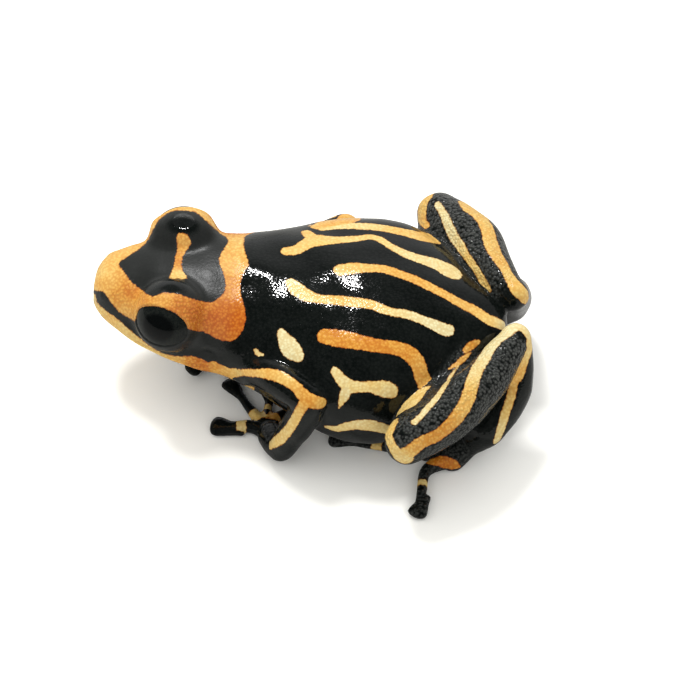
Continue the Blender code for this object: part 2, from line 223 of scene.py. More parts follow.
# Arms, given as if on the left, with the right one mirrored
SHOULDER = (-2.4, -2.7, 3.2)
ARM_POSES = {
    "left": {
        "lifts": ((0.03, -0.31, 0.60), (0.02, -0.21, 0.45)),
        "elbow": (0.52, -5.03, 3.95),
        "wrist": (-0.70, -5.02, 0.80),
        "palm": (-1.25, -3.90, 0.30),
        "yaw": 54,
    },
    "right": {
        "lifts": ((-0.03, -0.08, -0.12), (-0.03, -0.10, -0.16)),
        "elbow": (0.59, -5.36, 2.97),
        "wrist": (-1.60, -3.10, 0.80),
        "palm": (-2.65, -1.80, 0.30),
        "yaw": 49,
    },
}
FOREARM_LIFTS = ((0.05, -0.05, 0), (0, 0, 0))
BOW_PLACES = (0.35, 0.7)
UPPER_ARM_RADII = (0.85, 0.76, 0.72, 0.69)
FOREARM_RADII = (0.69, 0.71, 0.66, 0.56)
PALM_RADII = (0.56, 0.56)

# Fingers, first to fourth: turn from the palm's yaw in degrees (inwards is
# positive), length from the palm's middle to the tip, thickness, pad half width,
# then the pale band's place along the finger, half its length and its warmth
FINGERS = [
    (58, 1.95, 0.44, 0.30, 0.35, 0.20, 0.6),
    (26, 2.40, 0.44, 0.36, 0.60, 0.18, 0.3),
    (-2, 3.35, 0.46, 0.42, 0.41, 0.33, 0.3),
    (-47, 2.25, 0.46, 0.48, 0.56, 0.22, 0.2),
]
KNUCKLE = 0.85

# Legs, both given as if on the left
HIP = (6.1, -1.3, 3.35)
LEG_POSES = {
    "left": {
        "knee": (4.70, -6.35, 3.65),
        "thigh_lifts": ((0.35, 0.0, -0.45), (0.20, 0.0, -0.35)),
        "shank_lifts": ((0.35, -0.25, 0.0), (0.30, -0.20, 0.0)),
        "heel": (8.46, -1.25, 4.74),
        "bend": (8.46, -2.35, 2.95),
        "low": (7.63, -3.35, 1.65),
    },
    "right": {
        "knee": (4.42, -6.10, 3.62),
        "thigh_lifts": ((0.0, 0.0, -0.15), (-0.05, 0.0, -0.20)),
        "shank_lifts": ((0.23, 0.0, 0.23), (0.05, 0.20, 0.23)),
        "heel": (8.05, -1.35, 4.50),
        "bend": (7.85, -2.50, 3.05),
        "low": (7.65, -3.30, 1.65),
    },
}
THIGH_RADII = (1.40, 1.38, 1.22, 0.95)
SHANK_RADII = (0.96, 1.08, 0.95, 0.66)
TARSUS_RADII = (0.70, 0.80, 0.80, 0.62)
SOLE_RADII = (0.60, 0.55)
ANKLE = (6.82, -3.36, 0.62)
SOLE = (6.27, -4.16, 0.36)
FOOT_YAW = 9

# Toes, first to fifth, with the same sizes as the fingers
TOES = [
    (52, 1.80, 0.42, 0.28, 0.65, 0.15, 0.3),
    (24, 2.72, 0.42, 0.30, 0.70, 0.15, 0.3),
    (5, 3.75, 0.44, 0.34, 0.70, 0.18, 0.3),
    (-3, 4.93, 0.46, 0.40, 0.68, 0.20, 0.3),
    (-79, 3.15, 0.46, 0.42, 0.57, 0.15, 0.2),
]
INSTEP = 1.25
KNUCKLE_SPREAD = 0.6
KNUCKLE_LIFT = 0.08
DIGIT_HEIGHT = 0.20
DIGIT_TAPER = (1.6, 1.15, 0.92, 0.78)
BAND_GAP = 0.25
BAND_FLOOR = 0.12

# The pad on each digit's end, as rows of place along the digit from the tip, width
# and height, each a share of the pad's half width or half height
PAD_HALF_HEIGHT = 0.23
PAD_SHAPE = [
    (-2.3, 0.42, 0.70), (-1.5, 0.58, 0.95), (-0.8, 0.80, 1.00), (-0.1, 1.00, 1.00),
    (0.35, 0.96, 0.85), (0.6, 0.62, 0.50), (0.68, 0.30, 0.25),
]

# Markings of the head, as outlines in the photograph's pixels. The cap is the
# black between the eyes, the face is all that is orange round it, and the lip is
# the yellow edge of the upper jaw.
CAP_OUTLINE = [
    (119, 264), (121, 267), (125, 273), (132, 282), (140, 288), (146, 293), (152, 296),
    (158, 295), (163, 292), (172, 292), (180, 294), (188, 297), (198, 300), (208, 302),
    (214, 301), (223, 293), (225, 284), (223, 273), (219, 263), (220, 255), (225, 247),
    (228, 241), (225, 237), (218, 232), (208, 223), (200, 216), (192, 212), (180, 211),
    (171, 212), (163, 217), (157, 223), (152, 233), (147, 242), (141, 248), (132, 254),
    (123, 260),
]
FACE_OUTLINE = [
    (96, 291), (103, 292), (108, 298), (115, 308), (123, 315), (132, 320), (135, 322),
    (137, 315), (140, 309), (148, 307), (158, 307), (168, 310), (177, 315), (183, 322),
    (188, 329), (195, 331), (203, 332), (210, 335), (217, 339), (225, 341), (233, 341),
    (240, 335), (245, 325), (246, 315), (244, 303), (241, 293), (241, 283), (244, 273),
    (249, 265), (247, 257), (244, 245), (245, 237), (250, 215), (230, 190), (190, 175),
    (140, 190), (110, 225), (80, 255), (70, 285), (84, 291),
]
LIP_OUTLINE = [
    (80, 290), (94, 293), (98, 303), (107, 311), (118, 319), (128, 328), (140, 338),
    (152, 347), (163, 353), (178, 356), (192, 356), (202, 359), (212, 364), (222, 367),
    (235, 368), (252, 368), (266, 366), (280, 380), (250, 400), (190, 400), (130, 370),
    (80, 330),
]
BAR_OUTLINE = [
    (177, 234), (187, 234), (191, 243), (187, 250), (183, 257), (182, 267), (186, 275),
    (187, 279), (178, 279), (169, 278), (172, 270), (175, 258), (177, 247),
]

# How warm the colour of the head's markings is: place in pixels, then warmth from
# 0, pale cream, to 1, deep orange
HEAD_WARMTH = [
    (104, 270, 0.42), (112, 262, 0.42), (126, 252, 0.45), (145, 232, 0.5),
    (110, 284, 0.55), (118, 295, 0.72), (128, 290, 0.78), (122, 272, 0.62),
    (132, 308, 0.62), (146, 302, 0.72), (163, 300, 0.62), (180, 306, 0.86),
    (197, 316, 0.9), (212, 322, 1.0), (228, 325, 1.0), (236, 306, 0.95),
    (232, 290, 0.72), (234, 262, 0.5), (236, 244, 0.45), (222, 226, 0.45),
    (190, 205, 0.45), (182, 240, 0.62), (178, 262, 0.72), (178, 276, 0.3),
    (100, 302, 0.3), (125, 329, 0.3), (150, 350, 0.32), (175, 361, 0.45),
    (195, 361, 0.85), (206, 366, 0.85), (216, 373, 0.55), (240, 371, 0.4),
]

# The throat is black below this height, the lip is pale up to the next, and the bar
# between the eyes is above the last. The head's markings fade out along X.
THROAT_HEIGHT = 2.72
LIP_HEIGHT = 3.5
BAR_HEIGHT = 4.6
HEAD_FADE = (-2.2, -1.2)
HEAD_END = 0.5
SNOUT_EDGES = (-6.8, -7.4)

# How far the warmths of the head blend, in pixels squared, and how much the skin has
# to face the camera for its near and far side to be painted from there
WARMTH_BLEND = 25.0
NEAR_EDGES = (-0.12, 0.02)
FAR_EDGES = (0.05, 0.3)

# Painting: how far from a path points are looked at, the longest step between two of
# its places in mm squared, and limits for skin that is seen at a slant
MARK_REACH = 1.2
PATH_BREAK = 1.5
SLANT_LIMIT = 0.15
NARROW_LIMIT = 0.35
FLANK_DROP = 0.5

# Stripes and spots: places along the middle in pixels, each with its half width in
# pixels and its warmth
BACK_MARKS = {
    "far_flank": [
        (322, 229, 2, 0.3), (342, 226, 3, 0.2), (363, 226, 3.6, 0.2),
        (383, 228, 3.5, 0.3), (403, 232, 3.8, 0.38), (420, 236, 4.5, 0.4),
        (433, 238, 5, 0.42), (441, 239, 3, 0.42),
    ],
    "far_side": [
        (287, 251, 4.5, 0.35), (296, 250, 5, 0.35), (306, 244, 6, 0.35),
        (316, 240, 6, 0.35), (330, 240, 4.2, 0.3), (352, 239, 3.2, 0.25),
        (370, 237, 2.8, 0.25), (381, 240, 3.2, 0.25), (392, 247, 3.4, 0.2),
        (406, 254, 4, 0.15), (420, 259, 4.3, 0.1), (436, 264, 5.5, 0.1),
        (448, 270, 6.8, 0.1), (452, 272, 6.5, 0.1),
    ],
    "far_side_branch": [
        (306, 232, 4, 0.35), (314, 239, 6, 0.35),
    ],
    "far_back": [
        (341, 270, 6, 0.35), (354, 268, 5.8, 0.38), (368, 268, 4.5, 0.4),
        (384, 269, 4.2, 0.45), (400, 274, 4.1, 0.5), (416, 280, 4.2, 0.52),
        (430, 287, 4.2, 0.52), (446, 295, 4, 0.52), (460, 303, 4.3, 0.48),
        (474, 310, 4.8, 0.42), (488, 319, 5, 0.3), (498, 323, 5.3, 0.2),
        (504, 326, 4, 0.15),
    ],
    "near_back": [
        (291, 283, 5.5, 0.12), (297, 289, 7.2, 0.18), (306, 295, 6.5, 0.28),
        (320, 299, 4.6, 0.35), (336, 300, 5, 0.38), (352, 302, 5.3, 0.4),
        (368, 304, 5, 0.38), (380, 308, 4.8, 0.3), (392, 312, 4.3, 0.18),
        (406, 314, 4.5, 0.1), (420, 319, 4.7, 0.05), (432, 324, 5.2, 0.0),
        (443, 329, 6.5, 0.0), (448, 330, 6.3, 0.0),
    ],
    "near_side": [
        (325, 336, 7.8, 0.72), (336, 338, 8.8, 0.72), (350, 340, 8.5, 0.75),
        (364, 343, 7.6, 0.75), (380, 346, 7, 0.72), (396, 348, 7.2, 0.7),
        (410, 354, 8, 0.68), (418, 364, 8, 0.62), (421, 374, 7.6, 0.6),
        (425, 384, 8, 0.55), (428, 392, 8, 0.5),
    ],
    "near_flank": [
        (335, 371, 4.6, 0.15), (341, 379, 6, 0.15), (349, 386, 7.2, 0.18),
        (361, 387, 5.6, 0.2), (372, 387, 6.2, 0.2), (384, 389, 8.6, 0.2),
        (391, 391, 8, 0.2),
    ],
    "near_flank_branch": [
        (348, 387, 6, 0.05), (344, 396, 5.4, 0.1), (341, 403, 2.8, 0.2),
        (339, 408, 1.4, 0.3),
    ],
}
HIP_MARKS = {
    "hip_upper": [(466, 350, 3.8, 0.6), (472, 345, 4.4, 0.7), (478, 342, 2.6, 0.5)],
    "hip_lower": [
        (449, 369, 1, 0.5), (457, 364, 2.8, 0.55), (463, 359, 3, 0.55),
        (470, 353, 1.6, 0.5),
    ],
}
FLANK_SPOTS = {
    "shoulder_spot": [
        (281, 332, 4.2, 0.0), (285, 340, 7.4, 0.0), (291, 349, 9.8, 0.0),
        (298, 356, 6.4, 0.02),
    ],
    "arm_spot": [
        (255, 350, 2.0, 0.15), (258, 353.5, 2.9, 0.15), (263, 356, 1.8, 0.15),
    ],
    "belly_edge": [
        (326, 427, 1.4, 0.2), (336, 429, 3, 0.2), (345, 427, 4.2, 0.2),
        (358, 425, 5, 0.2), (370, 426, 5.5, 0.2), (384, 429, 5, 0.2),
        (392, 432, 4, 0.2),
    ],
}
LIP_END_MARKS = {
    "lip_end": [
        (214, 368, 6, 0.7), (224, 372, 5.2, 0.5), (236, 373, 4.2, 0.4),
        (246, 372.5, 3.8, 0.4), (256, 373, 4, 0.45),
    ],
}
ARM_MARKS = {
    "upper_arm": [
        (244, 374.5, 2, 0.4), (250, 374, 3.2, 0.42), (258, 373, 4.5, 0.44),
        (270, 374, 6, 0.48), (281, 377, 6.3, 0.4), (290, 382, 6, 0.42),
        (298, 389, 6, 0.5), (304, 396, 7, 0.6), (311, 401, 7.5, 0.65),
        (318, 403, 6.8, 0.55), (323, 403, 5.5, 0.5),
    ],
    "forearm": [
        (305, 402, 6, 0.6), (299, 412, 5.4, 0.4), (294, 421, 5.4, 0.3),
        (288, 430, 5.6, 0.25), (281, 438, 6, 0.25), (275, 442, 5.6, 0.25),
        (270, 445, 4, 0.25),
    ],
}
LEG_MARKS = {
    "thigh_front": [
        (429, 387, 1.2, 0.3), (424, 390, 2.6, 0.3), (415, 397, 4.4, 0.28),
        (406, 405, 5, 0.25), (397, 414, 5.4, 0.28), (390, 425, 4.5, 0.3),
        (388, 435, 4.3, 0.3), (391, 445, 4.8, 0.3), (397, 454, 6, 0.28),
        (404, 459, 7, 0.2),
    ],
    "shank": [
        (400, 458, 7, 0.15), (410, 452, 7, 0.45), (423, 442, 6.4, 0.6),
        (437, 436, 6.4, 0.68), (448, 427, 6.6, 0.65), (458, 416, 7.3, 0.5),
        (466, 403, 7.5, 0.42), (470, 392, 7.3, 0.4), (473, 380, 7, 0.25),
        (478, 367, 6.5, 0.1), (485, 355, 6, 0.03), (492, 343, 5.8, 0.0),
        (501, 331, 5.8, 0.0), (510, 326, 4.8, 0.02), (520, 326, 3.8, 0.05),
        (528, 331, 3.6, 0.1), (531, 338, 3.2, 0.15),
    ],
    "thigh_top": [
        (414, 422, 3.3, 0.1), (420, 417, 3.2, 0.05), (428, 407, 3.2, 0.05),
        (437, 397, 2.8, 0.1), (445, 385, 2.3, 0.15), (453, 373, 1.8, 0.2),
        (458, 366, 1, 0.2),
    ],
}
TARSUS_MARKS = {
    "tarsus": [
        (531, 340, 3.2, 0.2), (529.5, 350, 3.4, 0.25), (525, 360, 3.8, 0.35),
        (519, 371, 4.4, 0.45), (514, 384, 4.6, 0.48), (511, 397, 4.8, 0.45),
        (506, 412, 4.8, 0.3), (502, 426, 4.5, 0.2), (497, 441, 3.4, 0.15),
    ],
}
FAR_LEG_MARKS = {
    "far_knee": [
        (430, 193, 2, 0.45), (424, 201, 4, 0.38), (421, 211, 4.6, 0.4),
        (422, 220, 4.6, 0.45), (427, 226, 3.6, 0.5),
    ],
    "far_thigh_top": [
        (437, 204, 3.6, 0.05), (443, 213, 4.4, 0.02), (448, 225, 5, 0.02),
        (454, 237, 5, 0.08), (461, 247, 4.8, 0.2), (467, 257, 4, 0.28),
        (475, 268, 3.8, 0.3), (483, 281, 3.5, 0.35), (491, 293, 3, 0.35),
        (498, 305, 2.2, 0.4), (502, 311, 1.2, 0.4),
    ],
    "far_shank": [
        (461, 198, 3, 0.4), (472, 208, 4.5, 0.38), (482, 218, 6, 0.38),
        (488, 230, 7, 0.38), (491, 242, 7.3, 0.38), (495, 252, 6.5, 0.42),
        (502, 263, 5.5, 0.42), (509, 275, 5, 0.38), (517, 287, 7.3, 0.38),
        (524, 294, 6.8, 0.4), (527, 300, 4, 0.4),
    ],
}
FAR_ARM_MARKS = {
    "far_elbow": [
        (318, 226, 3.4, 0.45), (328, 223, 5, 0.5), (338, 220, 6, 0.5),
        (348, 217.5, 6.5, 0.5), (356, 216.5, 5, 0.45),
    ],
}
FOOT_MARKS = {
    "heel_patch": [
        (428, 461, 2.5, 0.7), (440, 461, 5.5, 0.85), (449, 464, 6, 0.85),
        (458, 467, 3, 0.8),
    ],
}


# Forms of the body, limbs and digits


def smooth_row(rows, u):
    """The row at u, from 0 at the first row to 1 at the last, on a Catmull-Rom curve."""
    place = min(max(u, 0.0), 1.0) * (len(rows) - 1)
    i = min(int(place), len(rows) - 2)
    t = place - i
    before = rows[max(i - 1, 0)]
    after = rows[min(i + 2, len(rows) - 1)]
    found = []
    for a, b, c, d in zip(before, rows[i], rows[i + 1], after):
        value = 2 * b + (c - a) * t + (2 * a - 5 * b + 4 * c - d) * t * t
        value += (3 * b - a - 3 * c + d) * t * t * t
        found.append(value / 2)
    return found


def spread_rows(rows, count):
    """Rows evenly along the smooth curve through the given ones."""
    return [smooth_row(rows, i / (count - 1)) for i in range(count)]


def fine_rows(rows, parts):
    """The given rows with others between them, each gap in equal parts."""
    return spread_rows(rows, (len(rows) - 1) * parts + 1)


def bowed(start, end, lifts):
    """Four points from start to end, the two between them moved by their lifts."""
    line = [start]
    for t, lift in zip(BOW_PLACES, lifts):
        line.append(tuple(a + (b - a) * t + c for a, b, c in zip(start, end, lift)))
    return line + [end]


def mirrored(point, side):
    """A point given as on the left, set on the left (side -1) or the right (side 1)."""
    return (point[0], -point[1] * side, point[2])


def on_side(point, side):
    """A point given with Y outwards, set on the left (side -1) or the right (side 1)."""
    return np.array([point[0], point[1] * side, point[2]])


def body_line(count=240):
    """The body's cross-sections as a fine table along X, sorted from snout to vent."""
    rows = np.array(spread_rows(BODY_SECTIONS, count))
    return rows[np.argsort(rows[:, 0])]


def body_rings(rows, sides=96):
    """Rings round the body, a little squarer than ellipses."""
    rings = []
    power = 2 / BODY_SQUARENESS
    for x, half_width, wide_height, top, bottom in rows:
        angles = np.linspace(0, 2 * math.pi, sides, endpoint=False)
        side, up = np.sin(angles), np.cos(angles)
        reach = np.where(up > 0, top - wide_height, wide_height - bottom)
        y = np.sign(side) * np.abs(side) ** power * half_width
        z = wide_height + np.sign(up) * np.abs(up) ** power * reach
        rings.append(np.column_stack([np.full(sides, x), y, z]))
    return rings


def chain(points, radii, count=24):
    """Points and radii along a limb, close together on a smooth curve."""
    rows = [(*point, radius) for point, radius in zip(points, radii)]
    return np.array(spread_rows(rows, count))


def chain_rings(samples, sides=24):
    """Rings round a chain of points and radii, with rounded ends."""
    along = samples[1, :3] - samples[0, :3]
    across = np.cross(along, (0, 0, 1.0))
    across /= np.linalg.norm(across)
    angles = np.linspace(0, 2 * math.pi, sides, endpoint=False)
    caps = [math.radians(a) for a in (8, 25, 45, 65)]
    rings = []
    last = len(samples) - 1
    for i, row in enumerate(samples):
        ahead, behind = samples[min(i + 1, last), :3], samples[max(i - 1, 0), :3]
        along = (ahead - behind) / np.linalg.norm(ahead - behind)
        across = across - along * across.dot(along)
        across /= np.linalg.norm(across)
        upward = np.cross(across, along)
        steps = [(0.0, 1.0)]
        if i == 0:
            steps = [(-math.cos(a), math.sin(a)) for a in caps] + steps
        if i == last:
            steps = steps + [(math.cos(a), math.sin(a)) for a in caps[::-1]]
        for forward, size in steps:
            spread = np.outer(np.cos(angles), across) + np.outer(np.sin(angles), upward)
            rings.append(row[:3] + along * forward * row[3] + spread * size * row[3])
    return rings


def ball_rings(centre, size, sides=32, rings=20):
    """Rings of an ellipsoid with its own half sizes along X, Y and Z."""
    turns = np.linspace(0, 2 * math.pi, sides, endpoint=False)
    made = []
    for i in range(1, rings):
        angle = math.pi * i / rings
        ring = np.column_stack([
            size[0] * math.sin(angle) * np.cos(turns),
            size[1] * math.sin(angle) * np.sin(turns),
            np.full(sides, size[2] * math.cos(angle)),
        ])
        made.append(np.array(centre) + ring)
    return made


def rings_mesh(forms):
    """One mesh of several closed forms, each given as a list of equal rings."""
    points, faces = [], []
    for rings in forms:
        first = len(points)
        sides = len(rings[0])
        for ring in rings:
            points.extend(ring.tolist())
        for r in range(len(rings) - 1):
            for k in range(sides):
                n = (k + 1) % sides
                a = first + r * sides
                faces.append((a + k, a + n, a + sides + n, a + sides + k))
        faces.append(tuple(first + k for k in range(sides))[::-1])
        end = first + (len(rings) - 1) * sides
        faces.append(tuple(end + k for k in range(sides)))
    mesh = bpy.data.meshes.new("forms")
    mesh.from_pydata(points, [], faces)
    mesh.validate()
    return mesh


def digit_line(middle, yaw, digit, knuckle, side):
    """The middle line of a finger or toe as points and radii, and its pad's rings."""
    turn, length, thickness, half_width = digit[:4]
    heading = math.radians(yaw + turn)
    outward = np.array([-math.cos(heading), math.sin(heading), 0])
    heading = math.radians(yaw + turn * KNUCKLE_SPREAD)
    at_knuckle = np.array([-math.cos(heading), math.sin(heading), 0])
    flat = np.array([middle[0], middle[1], DIGIT_HEIGHT])
    tip = flat + outward * length
    bend = flat + at_knuckle * knuckle + np.array([0, 0, KNUCKLE_LIFT])
    points = [mirrored(p, side) for p in (middle, bend, (bend + tip) / 2, tip)]
    radii = [thickness / 2 * share for share in DIGIT_TAPER]
    across = np.cross(outward, (0, 0, 1.0))
    turns = np.linspace(0, 2 * math.pi, 20, endpoint=False)
    pad = []
    for along, width, height in fine_rows(PAD_SHAPE, 3):
        ring = tip + outward * along * half_width
        ring = ring + np.outer(np.cos(turns), across) * width * half_width
        ring[:, 2] += np.sin(turns) * height * PAD_HALF_HEIGHT
        pad.append(ring * (1, -side, 1))
    return chain(points, radii, 20), pad


def limb_chains():
    """Every limb piece of both sides by name, as chains of points and radii."""
    chains = {}
    for side, word in ((-1, "left"), (1, "right")):
        arm, leg = ARM_POSES[word], LEG_POSES[word]
        elbow, wrist = arm["elbow"], arm["wrist"]
        knee, heel = leg["knee"], leg["heel"]
        lines = {
            "upper_arm": (bowed(SHOULDER, elbow, arm["lifts"]), UPPER_ARM_RADII),
            "forearm": (bowed(elbow, wrist, FOREARM_LIFTS), FOREARM_RADII),
            "thigh": (bowed(HIP, knee, leg["thigh_lifts"]), THIGH_RADII),
            "shank": (bowed(knee, heel, leg["shank_lifts"]), SHANK_RADII),
            "tarsus": ([heel, leg["bend"], leg["low"], ANKLE], TARSUS_RADII),
            "hand": ([wrist, arm["palm"]], PALM_RADII),
            "foot": ([ANKLE, SOLE], SOLE_RADII),
        }
        for name, (points, radii) in lines.items():
            placed = [mirrored(point, side) for point in points]
            chains[name + "_" + word] = chain(placed, radii)
    return chains


def digits():
    """Every finger and toe: the piece that it is part of, its line, pad and sizes."""
    made = []
    for side, word in ((-1, "left"), (1, "right")):
        pose = ARM_POSES[word]
        for digit in FINGERS:
            line, pad = digit_line(pose["palm"], pose["yaw"], digit, KNUCKLE, side)
            made.append(("hand_" + word, line, pad, digit))
        for digit in TOES:
            line, pad = digit_line(SOLE, FOOT_YAW, digit, INSTEP, side)
            made.append(("foot_" + word, line, pad, digit))
    return made


def eye_centre(side):
    return on_side(EYE_CENTRE, side)


def eye_axis(side):
    axis = on_side(EYE_AXIS, side)
    return axis / np.linalg.norm(axis)


def joined_skin(mesh):
    """One mesh of the outer surface of all the forms together."""
    source = bpy.data.objects.new("forms", mesh)
    bpy.context.scene.collection.objects.link(source)
    remesh = source.modifiers.new("join", "REMESH")
    remesh.mode = "VOXEL"
    remesh.voxel_size = SKIN_STEP
    graph = bpy.context.evaluated_depsgraph_get()
    made = bpy.data.meshes.new_from_object(source.evaluated_get(graph))
    bpy.data.objects.remove(source, do_unlink=True)
    return made


def read_points(mesh):
    points = np.empty(len(mesh.vertices) * 3)
    mesh.vertices.foreach_get("co", points)
    return points.reshape(-1, 3)


def write_points(mesh, points):
    mesh.vertices.foreach_set("co", points.ravel())
    mesh.update()


def read_normals(mesh):
    normals = np.empty(len(mesh.vertices) * 3)
    mesh.vertex_normals.foreach_get("vector", normals)
    return normals.reshape(-1, 3)


def read_edges(mesh):
    edges = np.empty(len(mesh.edges) * 2, dtype=np.int64)
    mesh.edges.foreach_get("vertices", edges)
    return edges.reshape(-1, 2)


def neighbour_mean(values, edges):
    """Each point's mean over the points next to it."""
    count = np.bincount(edges.ravel(), minlength=len(values))
    total = np.empty_like(values)
    for k in range(values.shape[1]):
        total[:, k] = np.bincount(edges[:, 0], values[edges[:, 1], k], len(values))
        total[:, k] += np.bincount(edges[:, 1], values[edges[:, 0], k], len(values))
    return total / np.maximum(count, 1)[:, None]


def smoothed(points, edges, weight, rounds):
    """Points moved half way to the mean of those next to them, round after round."""
    for _ in range(rounds):
        points = points + (neighbour_mean(points, edges) - points) * weight[:, None] * 0.5
    return points


def chain_distance(points, samples):
    """Distance from each point to the surface of a chain, and how far along it is."""
    best = np.full(len(points), 1e9)
    place = np.zeros(len(points))
    low = samples[:, :3].min(0) - 2.5
    high = samples[:, :3].max(0) + 2.5
    near = np.flatnonzero(((points > low) & (points < high)).all(1))
    chosen = points[near]
    found, where = best[near], place[near]
    last = len(samples) - 1
    for i in range(last):
        a, b = samples[i], samples[i + 1]
        span = b[:3] - a[:3]
        t = np.clip((chosen - a[:3]) @ span / max(span @ span, 1e-12), 0, 1)
        gap = np.linalg.norm(chosen - a[:3] - t[:, None] * span, axis=1)
        gap -= a[3] + (b[3] - a[3]) * t
        closer = gap < found
        found[closer] = gap[closer]
        where[closer] = ((i + t) / last)[closer]
    best[near], place[near] = found, where
    return best, place


def body_distance(points, rows):
    """Rough distance from each point to the body's surface, without the eyes' domes."""
    x = np.clip(points[:, 0], rows[0, 0], rows[-1, 0])
    half, middle, top, bottom = (np.interp(x, rows[:, 0], rows[:, k]) for k in (1, 2, 3, 4))
    up = points[:, 2] - middle
    reach = np.maximum(np.where(up > 0, top - middle, middle - bottom), 0.05)
    half = np.maximum(half, 0.05)
    share = (np.abs(points[:, 1]) / half) ** BODY_SQUARENESS
    share = (share + (np.abs(up) / reach) ** BODY_SQUARENESS) ** (1 / BODY_SQUARENESS)
    return (share - 1) * np.minimum(half, reach)


def trunk_distance(points, rows):
    """Rough distance from each point to the trunk and head, with the eyes' domes."""
    distance = body_distance(points, rows)
    for side in (-1, 1):
        ball = np.linalg.norm(points - eye_centre(side), axis=1) - LID_RADIUS
        distance = np.minimum(distance, ball)
    return distance


def step(low, high, value):
    """0 below low, 1 above high, and a smooth rise between."""
    t = np.clip((value - low) / (high - low), 0, 1)
    return t * t * (3 - 2 * t)


# The photograph's camera


def camera_axes():
    """The directions to the right, up and back towards the camera."""
    turn, lift = math.radians(CAMERA_AZIMUTH), math.radians(CAMERA_ELEVATION)
    back = np.array([
        math.sin(turn) * math.cos(lift), -math.cos(turn) * math.cos(lift), math.sin(lift),
    ])
    right = np.array([math.cos(turn), math.sin(turn), 0.0])
    return right, np.cross(back, right), back


RIGHT, UP, BACK = camera_axes()
MIDDLE = (
    RIGHT * (PHOTO_SIZE / 2 - PHOTO_ORIGIN[0]) / PHOTO_SCALE
    + UP * (PHOTO_ORIGIN[1] - PHOTO_SIZE / 2) / PHOTO_SCALE
    + BACK * MIDDLE_HEIGHT * BACK[2]
)
CAMERA_PLACE = MIDDLE + BACK * CAMERA_DISTANCE


def photo_place(points):
    """Where points of the model, in mm, show in the photograph."""
    offset = points - CAMERA_PLACE
    scale = PHOTO_SCALE * CAMERA_DISTANCE / -(offset @ BACK)
    half = PHOTO_SIZE / 2
    return np.column_stack([half + offset @ RIGHT * scale, half - offset @ UP * scale])


def sight_line(x, y):
    """The direction from the camera through a place in the photograph."""
    half = PHOTO_SIZE / 2
    ray = -BACK * CAMERA_DISTANCE
    ray = ray + RIGHT * (x - half) / PHOTO_SCALE - UP * (y - half) / PHOTO_SCALE
    return ray / np.linalg.norm(ray)


# Markings of the skin


def closed_curve(outline, parts=4):
    """A smooth closed curve through the corners of an outline."""
    p = np.array(outline, float)
    before, after, beyond = np.roll(p, 1, 0), np.roll(p, -1, 0), np.roll(p, -2, 0)
    made = []
    for k in range(parts):
        t = k / parts
        value = 2 * p + (after - before) * t
        value += (2 * before - 5 * p + 4 * after - beyond) * t * t
        value += (3 * p - before - 3 * after + beyond) * t ** 3
        made.append(value / 2)
    return np.stack(made, 1).reshape(-1, 2)


def outline_distance(places, outline):
    """Signed distance in mm from places in the photograph to an outline, inside positive."""
    curve = closed_curve(outline)
    nearest = np.full(len(places), 1e9)
    inside = np.zeros(len(places), dtype=bool)
    for a, b in zip(curve, np.roll(curve, -1, 0)):
        span = b - a
        t = np.clip((places - a) @ span / max(span @ span, 1e-9), 0, 1)
        gap = ((places - a - t[:, None] * span) ** 2).sum(1)
        nearest = np.minimum(nearest, gap)
        crosses = (a[1] > places[:, 1]) != (b[1] > places[:, 1])
        if a[1] != b[1]:
            at = a[0] + (places[:, 1] - a[1]) * span[0] / span[1]
            inside ^= crosses & (places[:, 0] < at)
    return np.where(inside, 1, -1) * np.sqrt(nearest) / PHOTO_SCALE


def painted_path(path, tree):
    """A marking's path laid on the skin: rows of point, half width in mm and warmth."""
    laid = []
    fine = fine_rows(path, 4)
    for i, (x, y, half, warmth) in enumerate(fine):
        ray = Vector(sight_line(x, y))
        hit, normal, _, _ = tree.ray_cast(Vector(CAMERA_PLACE), ray)
        if hit is None or normal.dot(ray) > 0:
            continue
        ahead, behind = fine[min(i + 1, len(fine) - 1)], fine[max(i - 1, 0)]
        flat = np.array([ahead[0] - behind[0], ahead[1] - behind[1]])
        flat = flat / max(np.linalg.norm(flat), 1e-6)
        tangent = RIGHT * flat[0] - UP * flat[1]
        normal = np.array(normal)
        # The mark's direction on the skin, then how wide one mm across it looks.
        tangent = tangent + BACK * -(tangent @ normal) / max(BACK @ normal, SLANT_LIMIT)
        tangent /= np.linalg.norm(tangent)
        across = np.cross(normal, tangent)
        seen = abs((across @ RIGHT) * -flat[1] - (across @ UP) * flat[0])
        laid.append((*hit, half / PHOTO_SCALE / max(seen, NARROW_LIMIT), warmth))
    return np.array(laid)


def mark_distance(points, laid):
    """Signed distance in mm to a marking on the skin, inside positive, and its warmth."""
    best = np.full(len(points), -9.0)
    warm = np.zeros(len(points))
    if len(laid) < 2:
        return best, warm
    low, high = laid[:, :3].min(0) - MARK_REACH, laid[:, :3].max(0) + MARK_REACH
    near = np.flatnonzero(((points > low) & (points < high)).all(1))
    chosen, found, shade = points[near], best[near], warm[near]
    for a, b in zip(laid[:-1], laid[1:]):
        span = b[:3] - a[:3]
        if span @ span > PATH_BREAK:
            continue
        t = np.clip((chosen - a[:3]) @ span / max(span @ span, 1e-12), 0, 1)
        gap = a[3] + (b[3] - a[3]) * t
        gap = gap - np.linalg.norm(chosen - a[:3] - t[:, None] * span, axis=1)
        more = gap > found
        found[more] = gap[more]
        shade[more] = (a[4] + (b[4] - a[4]) * t)[more]
    best[near], warm[near] = found, shade
    return best, warm


class Markings:
    """The pale markings gathered over the whole skin: distance inside, and warmth."""

    def __init__(self, count):
        self.depth = np.full(count, -3.0)
        self.warmth = np.full(count, 0.4)

    def add(self, where, depth, warmth):
        here = np.flatnonzero(where)
        more = depth[here] > self.depth[here]
        self.depth[here[more]] = depth[here][more]
        self.warmth[here[more]] = warmth[here][more]


